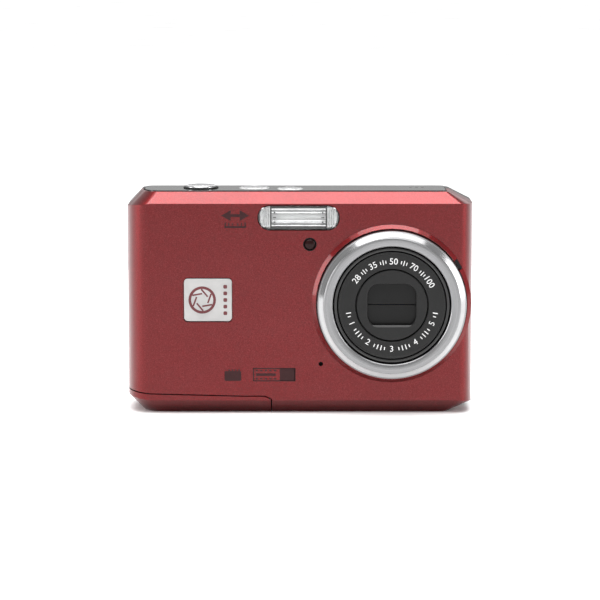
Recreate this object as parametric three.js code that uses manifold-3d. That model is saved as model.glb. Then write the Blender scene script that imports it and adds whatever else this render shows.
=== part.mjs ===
// Compact digital camera with a retracting zoom lens and two AA cells.
// Millimetres, +Z up, lens towards -Y, X to the right seen from the front.
// The camera frame has x = 0 at the middle of the case, y = 0 at mid depth and z = 0 at the base.
import * as THREE from "three";
import { mergeVertices } from "three/addons/utils/BufferGeometryUtils.js";
import Module from "manifold-3d";

const wasm = await Module();
wasm.setup();

// ---- driving dimensions ----
const CASE_W = 91;
const left = -CASE_W / 2;
const right = CASE_W / 2;
const CASE_H = 58.7;
const CASE_D = 22;
const WALL = 1.5;
const GAP = 0.3; // running gap between neighbouring pieces
const SEAM_Y = 2; // front cover meets rear cover
const CHAMFER = { left: 4, right: 6.5, front: 3.7, back: 3 }; // inset of the base and top outlines
const TOP_DROP = { left: 4.4, right: 3.4, front: 3.1, back: 3.1 }; // crease below the top
const BASE_RISE = { left: 4.4, right: 2.6, front: 3.6, back: 3.1 }; // crease above the base
const CORNER_STEPS = 10;

const LENS_X = right - 21.4;
const LENS_Z = 29.3;
const RIM_W = 1.1;
const RIM_PROUD = 1.2;
const RING_R = 19.5;
const RING_BORE_R = 15.45;
const RING_PROUD = 4.3;
const TUBE_WALL = 0.75;
const LENS_BASE_R = 19;
const BARREL_1_TRAVEL = 11;
const BARREL_2_TRAVEL = 9;
const NAME_RING_BORE_R = 9.6;
const BARRIER_W = 12.7;
const BARRIER_H = 11.3;
const BLADE_TRAVEL = 5.9;
const GEAR_MODULE = 1;
const CAM_TEETH = 34;
const DRIVE_TEETH = 12;
const DRIVE_ANGLE = 235; // degrees round the lens axis
const MOTOR_R = 3;

const CELL_R = 7.25;
const CELL_L = 50.5;
const CELL_WEB = 0.3; // between the two cells
const CELL_BASE_Z = 2.9;
const DOOR_END_X = left + 38.1;
const DOOR_SEAM_Z = 4.7;
const DOOR_AXIS_Y = 6.65;
const DOOR_BARREL_R = 0.9;
const DOOR_PIN_R = 0.45;

const TOP_PLATE_T = 1.2;
const EDGE_LIP = 0.3; // rim of the case left standing round the top plate
const SHUTTER = { x: left + 19.4, y: 0.5, r: 4.07, proud: 0.9 };
const POWER = { x: left + 33.5, y: 0.5, r: 3.5, proud: 0.3 };
const MODE = { x: left + 43, y: -2.2, r: 2.9, proud: 0.3 };
const KEY_PROUD = 0.5;
const KEY_FLANGE = 0.6;

const LCD_W = 60;
const LCD_H = 46;
const LCD_X = right - 33.5;
const LCD_Z = 29.5;
const NAV = { x: left + 15, z: 24, r: 8.8, bore: 4.6 };
const ROCKER = { x: left + 15, z: 48.5, w: 15, h: 6 };
const SMALL_KEYS = {
  menu_button: { x: NAV.x - 8, z: 39 },
  play_button: { x: NAV.x + 8, z: 39 },
  delete_button: { x: NAV.x + 8, z: 9.5 },
};
const SMALL_KEY_R = 2.4;

const FLASH = { x: LENS_X - 24.35, z: 51.9, w: 20.9, h: 6.05 };
const LAMP = { x: LENS_X - 21.4, z: 44.95, r: 1.5 };
const MIC = { x: LENS_X - 18.5, z: 13.3, r: 2, hole: 0.6 };
const PLATE = { x: left + 21.5, z: 30.3, w: 12.5, h: 11.2, corner: 1, t: 0.5 };
const LUG = { y: 4.5, z: 41.1, w: 2.6, h: 9.6, proud: 0.45 };
const SIDE_DOOR = { y0: 3.6, axisY: 7.9, z0: 7, z1: 45, t: 1.1, barrelR: 0.6 };
const CARD = { w: 24, l: 32, t: 2.2 };
const TRIPOD = { x: DOOR_END_X + 5.8, y: -1, r: 5, bore: 2.65, h: 7 };
const SPEAKER = { x: right - 14.5, y: 1, r: 5 };
const SCREWS = [
  { x: right - 9.5, y: 5.5 },
  { x: right - 25.5, y: -3 },
];

// ---- derived planes ----
const front = -CASE_D / 2;
const back = CASE_D / 2;
const plateZ = CASE_H - TOP_PLATE_T;
const ringFront = front - RING_PROUD;
const SIDES = ["left", "front", "right", "back"];

// ---- solids ----
function solid(geometry) {
  const bare = geometry.index ? geometry.toNonIndexed() : geometry.clone();
  bare.deleteAttribute("normal");
  bare.deleteAttribute("uv");
  const merged = mergeVertices(bare, 1e-4);
  const index = new Uint32Array(merged.index.array);
  const vertProperties = new Float32Array(merged.attributes.position.array);
  const made = new wasm.Manifold(new wasm.Mesh({ numProp: 3, vertProperties, triVerts: index }));
  if (made.volume() > 0) return made;
  for (let i = 0; i < index.length; i += 3) [index[i + 1], index[i + 2]] = [index[i + 2], index[i + 1]];
  return new wasm.Manifold(new wasm.Mesh({ numProp: 3, vertProperties, triVerts: index }));
}

function box(x0, x1, y0, y1, z0, z1) {
  const g = new THREE.BoxGeometry(x1 - x0, y1 - y0, z1 - z0);
  return solid(g.translate((x0 + x1) / 2, (y0 + y1) / 2, (z0 + z1) / 2));
}

function rodY(r, x, z, y0, y1, steps = 24) {
  const g = new THREE.CylinderGeometry(r, r, y1 - y0, steps);
  return solid(g.translate(x, (y0 + y1) / 2, z));
}

function rodZ(r, x, y, z0, z1, steps = 24) {
  const g = new THREE.CylinderGeometry(r, r, z1 - z0, steps).rotateX(Math.PI / 2);
  return solid(g.translate(x, y, (z0 + z1) / 2));
}

function rodX(r, y, z, x0, x1, steps = 16) {
  const g = new THREE.CylinderGeometry(r, r, x1 - x0, steps).rotateZ(Math.PI / 2);
  return solid(g.translate((x0 + x1) / 2, y, z));
}

// Profile points are [radius, y]; the lathe turns about an axis along Y.
function latheY(profile, x, z, steps = 40) {
  const points = profile.map(([r, y]) => new THREE.Vector2(r, y));
  return solid(new THREE.LatheGeometry(points, steps).translate(x, 0, z));
}

function latheZ(profile, x, y, steps = 24) {
  const points = profile.map(([r, z]) => new THREE.Vector2(r, z));
  return solid(new THREE.LatheGeometry(points, steps).rotateX(Math.PI / 2).translate(x, y, 0));
}

function tubeY(rIn, rOut, x, z, y0, y1, steps = 40) {
  return latheY([[rIn, y0], [rOut, y0], [rOut, y1], [rIn, y1], [rIn, y0]], x, z, steps);
}

// A flat shape drawn in X and Z, given thickness from y0 to y1.
function prismY(shape, y0, y1, curveSegments = 6) {
  const g = new THREE.ExtrudeGeometry(shape, { depth: y1 - y0, bevelEnabled: false, curveSegments });
  return solid(g.rotateX(Math.PI / 2).translate(0, y1, 0));
}

function roundedShape(x, z, w, h, r) {
  const s = new THREE.Shape();
  s.absarc(x + w / 2 - r, z + h / 2 - r, r, 0, Math.PI / 2);
  s.absarc(x - w / 2 + r, z + h / 2 - r, r, Math.PI / 2, Math.PI);
  s.absarc(x - w / 2 + r, z - h / 2 + r, r, Math.PI, 1.5 * Math.PI);
  s.absarc(x + w / 2 - r, z - h / 2 + r, r, 1.5 * Math.PI, 2 * Math.PI);
  return s;
}

function roundedY(x, z, w, h, r, y0, y1) {
  return prismY(roundedShape(x, z, w, h, r), y0, y1);
}

// Stacked outlines of equal point count, closed at both ends.
function loft(levels) {
  const n = levels[0].length;
  const position = [];
  const put = (...corners) => corners.forEach((p) => position.push(p.x, p.y, p.z));
  for (let k = 0; k + 1 < levels.length; k++) {
    for (let i = 0; i < n; i++) {
      const j = (i + 1) % n;
      put(levels[k][i], levels[k][j], levels[k + 1][j]);
      put(levels[k][i], levels[k + 1][j], levels[k + 1][i]);
    }
  }
  const base = levels[0];
  const top = levels[levels.length - 1];
  for (let i = 1; i + 1 < n; i++) {
    put(base[0], base[i + 1], base[i]);
    put(top[0], top[i], top[i + 1]);
  }
  const g = new THREE.BufferGeometry();
  g.setAttribute("position", new THREE.Float32BufferAttribute(position, 3));
  return solid(g);
}

// ---- case outline ----
// Corners run anticlockwise from the left front one; each is a quarter ellipse rx by ry.
const OUTER_CORNERS = [[6.5, 9.5], [3.7, 7], [3, 3], [4, 4]];
const INNER_CORNERS = [[4.6, 6.2], [1.2, 1.2], [1.2, 1.2], [2, 2]];

function outline(inset, corners, shrink, height) {
  const edge = {
    left: left + inset.left,
    right: right - inset.right,
    front: front + inset.front,
    back: back - inset.back,
  };
  const points = [];
  const spots = [
    [edge.left, edge.front, 1, 1, Math.PI],
    [edge.right, edge.front, -1, 1, 1.5 * Math.PI],
    [edge.right, edge.back, -1, -1, 0],
    [edge.left, edge.back, 1, -1, Math.PI / 2],
  ];
  spots.forEach(([x, y, sx, sy, start], c) => {
    const rx = Math.max(corners[c][0] - shrink, 0.4);
    const ry = Math.max(corners[c][1] - shrink, 0.4);
    for (let i = 0; i <= CORNER_STEPS; i++) {
      const t = i / CORNER_STEPS;
      const a = start + (t * Math.PI) / 2;
      const z = height[SIDES[c]] * (1 - t) + height[SIDES[(c + 1) % 4]] * t;
      points.push(new THREE.Vector3(x + sx * rx + rx * Math.cos(a), y + sy * ry + ry * Math.sin(a), z));
    }
  });
  return points;
}

const level = (z) => ({ left: z, right: z, front: z, back: z });
const spread = (table, add) => Object.fromEntries(SIDES.map((s) => [s, table[s] + add]));

function caseSolid(wall, baseInset, topInset) {
  const creaseShift = 0.47 * wall;
  const topCrease = Object.fromEntries(SIDES.map((s) => [s, CASE_H - TOP_DROP[s] - creaseShift]));
  const baseCrease = spread(BASE_RISE, creaseShift);
  return loft([
    outline(spread(CHAMFER, baseInset), INNER_CORNERS, 0, level(wall)),
    outline(level(wall), OUTER_CORNERS, wall, baseCrease),
    outline(level(wall), OUTER_CORNERS, wall, topCrease),
    outline(spread(CHAMFER, topInset), INNER_CORNERS, 0, level(CASE_H - wall)),
  ]);
}

const shell = caseSolid(0, 0, 0).subtract(caseSolid(WALL, 0.5 * WALL, WALL));
const inside = caseSolid(WALL + GAP, 0.5 * WALL + GAP, WALL + GAP);

// ---- scene graph ----
const camera = new THREE.Group();
function add(name, made, color, roughness, metalness = 0) {
  const m = made.getMesh();
  const g = new THREE.BufferGeometry();
  g.setAttribute("position", new THREE.BufferAttribute(new Float32Array(m.vertProperties), 3));
  g.setIndex(new THREE.BufferAttribute(new Uint32Array(m.triVerts), 1));
  g.computeVertexNormals();
  const mesh = new THREE.Mesh(g, new THREE.MeshStandardMaterial({ color, roughness, metalness }));
  mesh.name = name;
  camera.add(mesh);
}

const RED = 0x85343a;
const BLACK = 0x202124;
const DARK = 0x3a3b3d;
const SILVER = 0xb9babc;
const BRASS = 0xb08d4c;
const GREEN = 0x1f5c3a;
const GLASS = 0xdfe6ea;

// ---- battery door: the lower left corner of the case, hinged at the back of the base ----
const doorFar = left - 5;
function doorRegion(grow, yEnd) {
  const s = new THREE.Shape([
    new THREE.Vector2(doorFar, -1),
    new THREE.Vector2(DOOR_END_X + grow, -1),
    new THREE.Vector2(DOOR_END_X + grow, DOOR_SEAM_Z - 0.8 + grow / 2),
    new THREE.Vector2(DOOR_END_X - 1.8 + grow / 2, DOOR_SEAM_Z + grow),
    new THREE.Vector2(DOOR_END_X - 8, DOOR_SEAM_Z + grow),
    new THREE.Vector2(left + 6, DOOR_SEAM_Z + 0.6 + grow),
    new THREE.Vector2(left, DOOR_SEAM_Z + 1.1 + grow),
    new THREE.Vector2(doorFar, DOOR_SEAM_Z + 1.1 + grow),
  ]);
  return prismY(s, front - 3, yEnd);
}

const pinX0 = left + 6.2;
const pinX1 = DOOR_END_X - 2.3;
const earT = 0.9;
const doorAxisZ = DOOR_BARREL_R;
const doorCut = doorRegion(GAP / 2, DOOR_AXIS_Y + DOOR_BARREL_R + GAP);
const earRoom = (x) => box(x - GAP, x + earT + GAP, DOOR_AXIS_Y - 2.2, DOOR_AXIS_Y + 2, -1, 4);
const pinBore = rodX(DOOR_PIN_R + 0.15, DOOR_AXIS_Y, doorAxisZ, pinX0 - 1, pinX1 + 1);
const batteryDoor = shell
  .intersect(doorRegion(-GAP / 2, DOOR_AXIS_Y))
  .add(rodX(DOOR_BARREL_R, DOOR_AXIS_Y, doorAxisZ, pinX0, pinX1))
  .subtract(earRoom(pinX0))
  .subtract(earRoom(pinX1 - earT))
  .subtract(pinBore);
add("battery_door", batteryDoor, RED, 0.35, 0.3);

const bracketZ = 2.1;
const bracketT = 0.4;
const ear = (x) =>
  rodX(DOOR_BARREL_R, DOOR_AXIS_Y, doorAxisZ, x, x + earT).add(
    box(x, x + earT, DOOR_AXIS_Y - 0.7, DOOR_AXIS_Y + 0.7, doorAxisZ, bracketZ + bracketT),
  );
const slideBracket = box(pinX0, pinX1, DOOR_AXIS_Y - 2.6, DOOR_AXIS_Y + 0.7, bracketZ, bracketZ + bracketT)
  .add(ear(pinX0))
  .add(ear(pinX1 - earT))
  .subtract(pinBore);
add("door_slide_bracket", slideBracket, SILVER, 0.35, 1);
add("door_hinge_pin", rodX(DOOR_PIN_R, DOOR_AXIS_Y, doorAxisZ, pinX0, pinX1, 12), SILVER, 0.3, 1);

// ---- cells and their box ----
const cellY = front + WALL + 1.15 + CELL_R;
const cellX1 = left + WALL + 2.2 + CELL_R;
const cellX2 = cellX1 + 2 * CELL_R + CELL_WEB;
const cellTop = CELL_BASE_Z + CELL_L;
const boxTop = cellTop + 1.5;
const boxX1 = cellX2 + CELL_R + 0.9;
const boxBackY = cellY + CELL_R + 0.45;
const doorRoomZ = DOOR_SEAM_Z + 1.5;
let batteryBox = box(left, boxX1, front, boxBackY, doorRoomZ, boxTop).intersect(inside);
[cellX1, cellX2].forEach((x) => {
  batteryBox = batteryBox.subtract(rodZ(CELL_R + 0.2, x, cellY, 0, cellTop + 0.9));
  batteryBox = batteryBox.subtract(rodZ(2.2, x, cellY, 0, boxTop + 1, 12));
});
add("battery_box", batteryBox, DARK, 0.6);

const cellProfile = (nubUp) => {
  const nub = nubUp ? 1 : -1;
  const z0 = nubUp ? CELL_BASE_Z : cellTop;
  return [
    [0, z0],
    [CELL_R - 0.5, z0],
    [CELL_R, z0 + nub * 0.5],
    [CELL_R, z0 + nub * (CELL_L - 1.8)],
    [CELL_R - 0.5, z0 + nub * (CELL_L - 1.3)],
    [2.6, z0 + nub * (CELL_L - 1.3)],
    [2.6, z0 + nub * CELL_L],
    [0, z0 + nub * CELL_L],
  ];
};
add("aa_cell_1", latheZ(cellProfile(true), cellX1, cellY), 0x8c8f94, 0.35, 0.6);
add("aa_cell_2", latheZ(cellProfile(false), cellX2, cellY), 0x8c8f94, 0.35, 0.6);
const terminal = (x) => latheZ(
  [[0, cellTop + GAP], [1.9, cellTop + GAP], [1.9, boxTop + 0.15], [0, boxTop + 0.15]], x, cellY, 12);
add("terminal_plus", terminal(cellX1), BRASS, 0.35, 1);
add("terminal_minus", terminal(cellX2), BRASS, 0.35, 1);
const contactCone = (x) => latheZ(
  [[0, WALL + GAP], [3.4, WALL + GAP], [1.6, CELL_BASE_Z - GAP], [0, CELL_BASE_Z - GAP]], x, cellY, 16);
const contactSide = CELL_R - 3.25; // how far the contact plate reaches past each cell's axis
const contactHalf = CELL_R - 3.75;
const doorContact = box(
  cellX1 - contactSide, cellX2 + contactSide, cellY - contactHalf, cellY + contactHalf,
  WALL + GAP, WALL + GAP + 0.3)
  .add(contactCone(cellX1))
  .add(contactCone(cellX2));
add("door_contact", doorContact, BRASS, 0.35, 1);

// ---- front cover ----
const ringHole = rodY(RING_R + GAP, LENS_X, LENS_Z, ringFront - 2, front + 5, 48);
const rim = tubeY(RING_R, RING_R + GAP + RIM_W, LENS_X, LENS_Z, front - RIM_PROUD, front + 3, 48);
const micHole = rodY(MIC.hole, MIC.x, MIC.z, front - 1, front + 3, 10);
const lampHole = rodY(LAMP.r + GAP, LAMP.x, LAMP.z, front - 1, front + 3, 16);
const flashHole = roundedY(FLASH.x, FLASH.z, FLASH.w + 2 * GAP, FLASH.h + 2 * GAP, FLASH.h / 2 + GAP - 0.01,
  front - 1, front + 3);
const plateRecess = roundedY(PLATE.x, PLATE.z, PLATE.w + 2 * GAP, PLATE.h + 2 * GAP, PLATE.corner + GAP,
  front - 1, front + PLATE.t + GAP);
const topOutline = (inset, z) => outline(spread(CHAMFER, inset), INNER_CORNERS, 0, level(z));
const topOpening = loft([topOutline(EDGE_LIP, plateZ - GAP), topOutline(EDGE_LIP, CASE_H + 2)]);
const frontHalf = box(left - 1, right + 1, front - 5, SEAM_Y - GAP / 2, -1, CASE_H + 1);
const backHalf = box(left - 1, right + 1, SEAM_Y + GAP / 2, back + 5, -1, CASE_H + 1);
const socketRoom = rodZ(TRIPOD.r + GAP, TRIPOD.x, TRIPOD.y, -1, WALL + 1, 24);
const screwRoom = ({ x, y }) =>
  rodZ(1.6, x, y, -1, 0.9, 12).add(rodZ(1.1, x, y, 0.8, WALL + 1, 12));
let frontCover = shell.intersect(frontHalf).add(rim);
[ringHole, micHole, lampHole, flashHole, plateRecess, topOpening, doorCut, socketRoom].forEach((cut) => {
  frontCover = frontCover.subtract(cut);
});
frontCover = frontCover.subtract(screwRoom(SCREWS[1]));
add("front_cover", frontCover, RED, 0.35, 0.3);
const namePlate = roundedY(PLATE.x, PLATE.z, PLATE.w, PLATE.h, PLATE.corner, front - 0.15, front + PLATE.t);
add("name_plate", namePlate, 0xd6d3d2, 0.4);

// ---- rear cover ----
const keyHole = (x, z) => rodY(SMALL_KEY_R + GAP, x, z, back - 3, back + 1, 20);
const lugRoom = box(left - 1, left + 3, LUG.y - LUG.w / 2 - GAP, LUG.y + LUG.w / 2 + GAP,
  LUG.z - LUG.h / 2 - GAP, LUG.z + LUG.h / 2 + GAP);
const sideAxisX = right - SIDE_DOOR.barrelR;
const sideRoom = box(right - SIDE_DOOR.t - GAP, right + 1,
  SIDE_DOOR.y0 - GAP, SIDE_DOOR.axisY + SIDE_DOOR.barrelR + GAP,
  SIDE_DOOR.z0 - GAP, SIDE_DOOR.z1 + GAP);
const sideMouth = box(right - WALL - 1, right + 1, SIDE_DOOR.y0 + 0.2, SIDE_DOOR.axisY - 0.6,
  SIDE_DOOR.z0 + 1, SIDE_DOOR.z1 - 1);
const rockerHole = roundedY(ROCKER.x, ROCKER.z, ROCKER.w + 2 * GAP, ROCKER.h + 2 * GAP, ROCKER.h / 2,
  back - 3, back + 1);
const lcdHole = roundedY(LCD_X, LCD_Z, LCD_W + 2 * GAP, LCD_H + 2 * GAP, 1.5, back - 3, back + 1);
const navHole = rodY(NAV.r + GAP, NAV.x, NAV.z, back - 3, back + 1, 40);
let rearCover = shell.intersect(backHalf);
const rearOpenings = [lcdHole, navHole, rockerHole, lugRoom, sideRoom, sideMouth];
rearOpenings.concat(topOpening, doorCut, socketRoom).forEach((cut) => {
  rearCover = rearCover.subtract(cut);
});
Object.values(SMALL_KEYS).forEach(({ x, z }) => {
  rearCover = rearCover.subtract(keyHole(x, z));
});
rearCover = rearCover.subtract(screwRoom(SCREWS[0]));
add("rear_cover", rearCover, BLACK, 0.45);
SCREWS.forEach(({ x, y }, i) => {
  const screw = latheZ([[0, 0.3], [1.3, 0.3], [1.3, 0.6], [0.8, 0.6], [0.8, 5], [0, 5]], x, y, 12);
  add("case_screw_" + (i + 1), screw, SILVER, 0.3, 1);
});

const lugX0 = left - LUG.proud;
const lugX1 = left + WALL;
const lugY0 = LUG.y - LUG.w / 2;
const lugZ0 = LUG.z - LUG.h / 2;
const strapLug = box(lugX0, lugX1, lugY0, lugY0 + LUG.w, lugZ0, lugZ0 + LUG.h).subtract(
  box(left + 0.6, lugX1 + 1, lugY0 - 1, lugY0 + LUG.w + 1, lugZ0 + 1.8, lugZ0 + LUG.h - 1.8));
add("strap_lug", strapLug, DARK, 0.35, 0.8);

const sideCover = box(right - SIDE_DOOR.t, right, SIDE_DOOR.y0, SIDE_DOOR.axisY, SIDE_DOOR.z0, SIDE_DOOR.z1)
  .add(rodZ(SIDE_DOOR.barrelR, sideAxisX, SIDE_DOOR.axisY, SIDE_DOOR.z0, SIDE_DOOR.z1, 16));
add("side_cover", sideCover, BLACK, 0.6);

// ---- top plate and its buttons ----
const topKeys = { shutter_button: SHUTTER, power_button: POWER, mode_button: MODE };
let topPlate = loft([topOutline(EDGE_LIP + GAP, plateZ), topOutline(EDGE_LIP + GAP, CASE_H)]);
Object.values(topKeys).forEach(({ x, y, r }) => {
  topPlate = topPlate.subtract(rodZ(r + GAP, x, y, plateZ - 1, CASE_H + 1));
});
[-1.6, 0, 1.6].forEach((dx) => {
  topPlate = topPlate.subtract(rodZ(0.4, SPEAKER.x + dx, SPEAKER.y, plateZ - 1, CASE_H + 1, 8));
});
add("top_plate", topPlate, DARK, 0.25);
const keyFloor = plateZ - 1;
Object.entries(topKeys).forEach(([name, { x, y, r, proud }]) => {
  const topZ = CASE_H + proud;
  const cap = latheZ(
    [[0, keyFloor], [r + 0.8, keyFloor], [r + 0.8, keyFloor + KEY_FLANGE], [r, keyFloor + KEY_FLANGE],
      [r, topZ - 0.45], [r - 0.5, topZ - 0.12], [0, topZ]], x, y);
  add(name, cap, SILVER, 0.2, 0.9);
});
const boardZ = boxTop + GAP;
const topBoard = box(cellX1 + 1.2, MODE.x + 5, SHUTTER.y - 5.5, SHUTTER.y + 4.5, boardZ, boardZ + 0.4)
  .intersect(inside);
add("top_switch_board", topBoard, GREEN, 0.5);
add("speaker", rodZ(SPEAKER.r, SPEAKER.x, SPEAKER.y, plateZ - 2.6, plateZ - GAP - 0.1, 20), DARK, 0.5);

// ---- flash, lamp, microphone ----
const flashWindow = roundedY(FLASH.x, FLASH.z, FLASH.w, FLASH.h, FLASH.h / 2 - 0.01, front, front + 1);
add("flash_window", flashWindow, GLASS, 0.1);
const troughR = 2;
const troughHalf = FLASH.w / 2 - 1.25;
const troughY = front + WALL + GAP + troughR;
const trough = rodX(troughR, troughY, FLASH.z, FLASH.x - troughHalf, FLASH.x + troughHalf, 16)
  .add(box(FLASH.x - troughHalf, FLASH.x + troughHalf, front, troughY, FLASH.z - troughR, FLASH.z + troughR));
const reflectorWall = 0.6;
const reflectorHalf = troughHalf + reflectorWall;
const reflector = box(FLASH.x - reflectorHalf, FLASH.x + reflectorHalf,
  front + WALL + GAP, troughY + troughR + reflectorWall,
  FLASH.z - troughR - reflectorWall, FLASH.z + troughR + reflectorWall).subtract(trough);
add("flash_reflector", reflector, SILVER, 0.15, 1);
const tubeHalf = troughHalf - 0.4;
add("flash_tube", rodX(0.8, troughY + 0.1, FLASH.z, FLASH.x - tubeHalf, FLASH.x + tubeHalf, 12), GLASS, 0.1);
add("flash_capacitor", rodZ(4, boxX1 + 5.1, front + 6.5, 12, 42, 16), 0x23262b, 0.4);
const lamp = latheY([
  [0, front - 0.25],
  [LAMP.r * 0.6, front - 0.15],
  [LAMP.r, front + 0.2],
  [LAMP.r, front + WALL + GAP],
  [LAMP.r + 0.7, front + WALL + GAP],
  [LAMP.r + 0.7, front + WALL + 1.3],
  [0, front + WALL + 1.3],
], LAMP.x, LAMP.z, 16);
add("lamp_lens", lamp, 0x3b1a16, 0.15);
add("microphone", rodY(MIC.r, MIC.x, MIC.z, front + WALL + GAP, front + WALL + 1.8, 16), SILVER, 0.4, 0.8);

// ---- lens: ring, base, cam ring and two barrels, one inside the other ----
const bore = RING_BORE_R;
const ringBack = front + 2.8;
const bezel = latheY([
  [bore, ringBack],
  [RING_R, ringBack],
  [RING_R, ringFront + 0.9],
  [RING_R - 0.6, ringFront + 0.2],
  [RING_R - 0.9, ringFront],
  [bore + 0.6, ringFront],
  [bore, ringFront + 0.5],
  [bore, ringBack],
], LENS_X, LENS_Z, 48);
add("lens_ring", bezel, SILVER, 0.3, 1);

const baseFront = front + 3.4;
const plateFront = front + 12.6;
const baseWall = 1.35;
const camOuter = LENS_BASE_R - baseWall - GAP;
const drivePitch = (GEAR_MODULE * DRIVE_TEETH) / 2;
const camPitch = (GEAR_MODULE * CAM_TEETH) / 2;
const driveReach = drivePitch + camPitch + 0.15;
const driveX = LENS_X + driveReach * Math.cos(THREE.MathUtils.degToRad(DRIVE_ANGLE));
const driveZ = LENS_Z + driveReach * Math.sin(THREE.MathUtils.degToRad(DRIVE_ANGLE));
const gearY0 = front + 9.6;
const gearY1 = front + 11.2;
const sensorHoleR = 5;
const lensBase = latheY([
  [LENS_BASE_R - baseWall, baseFront],
  [LENS_BASE_R, baseFront],
  [LENS_BASE_R, plateFront + 0.8],
  [sensorHoleR, plateFront + 0.8],
  [sensorHoleR, plateFront],
  [LENS_BASE_R - baseWall, plateFront],
  [LENS_BASE_R - baseWall, baseFront],
], LENS_X, LENS_Z)
  .subtract(rodY(drivePitch + 0.35 + GAP, driveX, driveZ, gearY0 - GAP, gearY1 + GAP, 32));
add("lens_base", lensBase, DARK, 0.6);

// Trapezoid teeth drawn at even steps round the pitch circle.
function gearShape(x, z, teeth, phase, boreR) {
  const pitch = (GEAR_MODULE * teeth) / 2;
  const tip = pitch + 0.3;
  const root = pitch - 0.45;
  const step = (2 * Math.PI) / teeth;
  const points = [];
  for (let i = 0; i < teeth; i++) {
    const a = phase + i * step;
    [[-0.25, root], [-0.11, tip], [0.11, tip], [0.25, root]].forEach(([f, r]) => {
      points.push(new THREE.Vector2(x + r * Math.cos(a + f * step), z + r * Math.sin(a + f * step)));
    });
  }
  const s = new THREE.Shape(points);
  s.holes.push(new THREE.Path().absarc(x, z, boreR, 0, 2 * Math.PI, true));
  return s;
}
const driveAngle = THREE.MathUtils.degToRad(DRIVE_ANGLE);
const camGear = prismY(gearShape(LENS_X, LENS_Z, CAM_TEETH, driveAngle, bore + 0.2), gearY0, gearY1, 20);
const camSleeve = tubeY(bore, camPitch - 0.6, LENS_X, LENS_Z, baseFront + GAP, gearY1);
const camRoom = tubeY(bore, camOuter, LENS_X, LENS_Z, baseFront, plateFront, 48);
add("cam_ring", camSleeve.add(camGear).intersect(camRoom), SILVER, 0.4, 0.8);
const drivePhase = driveAngle + Math.PI + Math.PI / DRIVE_TEETH;
const shaftR = 0.8;
const driveGear = prismY(gearShape(driveX, driveZ, DRIVE_TEETH, drivePhase, shaftR + 0.15), gearY0, gearY1);
add("drive_gear", driveGear, 0xd8d2c4, 0.5);
const motor = rodY(MOTOR_R, driveX, driveZ, front + 3.6, gearY0 - 0.4, 20)
  .add(rodY(shaftR, driveX, driveZ, gearY0 - 1, gearY1, 12));
add("lens_motor", motor, SILVER, 0.3, 0.9);

const barrel1Out = bore - 0.35;
const barrel1In = barrel1Out - TUBE_WALL;
const barrel2Out = barrel1In - GAP;
const barrel2In = barrel2Out - TUBE_WALL;
const faceY = ringFront + 0.8;
const barrelEnd = front + 11.2;
add("barrel_1", tubeY(barrel1In, barrel1Out, LENS_X, LENS_Z, faceY + 0.1, barrelEnd), DARK, 0.4, 0.3);
const nameFace = faceY - 0.1;
const nameBack = nameFace + 0.4;
const barrel2Face = nameBack + GAP;
const barrel2 = latheY([
  [NAME_RING_BORE_R, barrel2Face],
  [barrel2Out, barrel2Face],
  [barrel2Out, barrelEnd - 0.8],
  [barrel2In, barrelEnd - 0.8],
  [barrel2In, barrel2Face + 0.7],
  [NAME_RING_BORE_R, barrel2Face + 0.7],
  [NAME_RING_BORE_R, barrel2Face],
], LENS_X, LENS_Z);
add("barrel_2", barrel2, DARK, 0.4, 0.3);
add("name_ring", tubeY(NAME_RING_BORE_R, barrel2Out, LENS_X, LENS_Z, nameFace, nameBack), DARK, 0.5);
const frameR = NAME_RING_BORE_R - GAP;
const frameBack = faceY + 1.5;
const barrierFrame = rodY(frameR, LENS_X, LENS_Z, faceY + 0.1, frameBack, 40)
  .subtract(roundedY(LENS_X, LENS_Z, BARRIER_W, BARRIER_H, 3, faceY - 1, frameBack + 1));
add("barrier_frame", barrierFrame, DARK, 0.5);
const bladeY0 = frameBack + GAP;
const bladeY1 = bladeY0 + 0.5;
const bladePlate = roundedY(LENS_X, LENS_Z, BARRIER_W + 0.7, BARRIER_H + 0.7, 4, bladeY0, bladeY1);
const bladeField = (z0, z1) => box(LENS_X - frameR, LENS_X + frameR, bladeY0 - 1, bladeY1 + 1, z0, z1);
const bladeEdge = 0.1; // half the line between the closed blades
const upperBlade = bladePlate.intersect(bladeField(LENS_Z + bladeEdge, LENS_Z + frameR));
const lowerBlade = bladePlate.intersect(bladeField(LENS_Z - frameR, LENS_Z - bladeEdge));
add("barrier_blade_upper", upperBlade, BLACK, 0.35, 0.4);
add("barrier_blade_lower", lowerBlade, BLACK, 0.35, 0.4);

const cellFront = bladeY1 + 0.4;
const shutterBack = cellFront + 4.6;
const FRONT_LENS_R = 7.7;
const FOCUS_LENS_R = 5.9;
const irisR = 3.5;
const shutterUnit = latheY([
  [FRONT_LENS_R + GAP, cellFront],
  [barrel2In - GAP, cellFront],
  [barrel2In - GAP, shutterBack],
  [irisR, shutterBack],
  [irisR, shutterBack - 1.2],
  [FRONT_LENS_R + GAP, shutterBack - 1.2],
  [FRONT_LENS_R + GAP, cellFront],
], LENS_X, LENS_Z, 32);
add("shutter_unit", shutterUnit, BLACK, 0.6);
const lens = (r, y0, y1, bulge) => latheY([
  [0, y0 - bulge],
  [r * 0.5, y0 - bulge * 0.75],
  [r, y0],
  [r, y1],
  [r * 0.5, y1 + bulge * 0.5],
  [0, y1 + bulge * 0.6],
], LENS_X, LENS_Z, 24);
add("front_lens", lens(FRONT_LENS_R, cellFront + 1, cellFront + 2.2, 0.7), GLASS, 0.05);
const focusFront = shutterBack + 1.9;
const focusBack = focusFront + 2;
const focusCarrier = tubeY(FOCUS_LENS_R + GAP, barrel2In - 0.5, LENS_X, LENS_Z, focusFront, focusBack, 32);
add("focus_carrier", focusCarrier, DARK, 0.6);
add("focus_lens", lens(FOCUS_LENS_R, focusFront + 0.3, focusBack - 0.3, 0.3), GLASS, 0.05);
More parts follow.
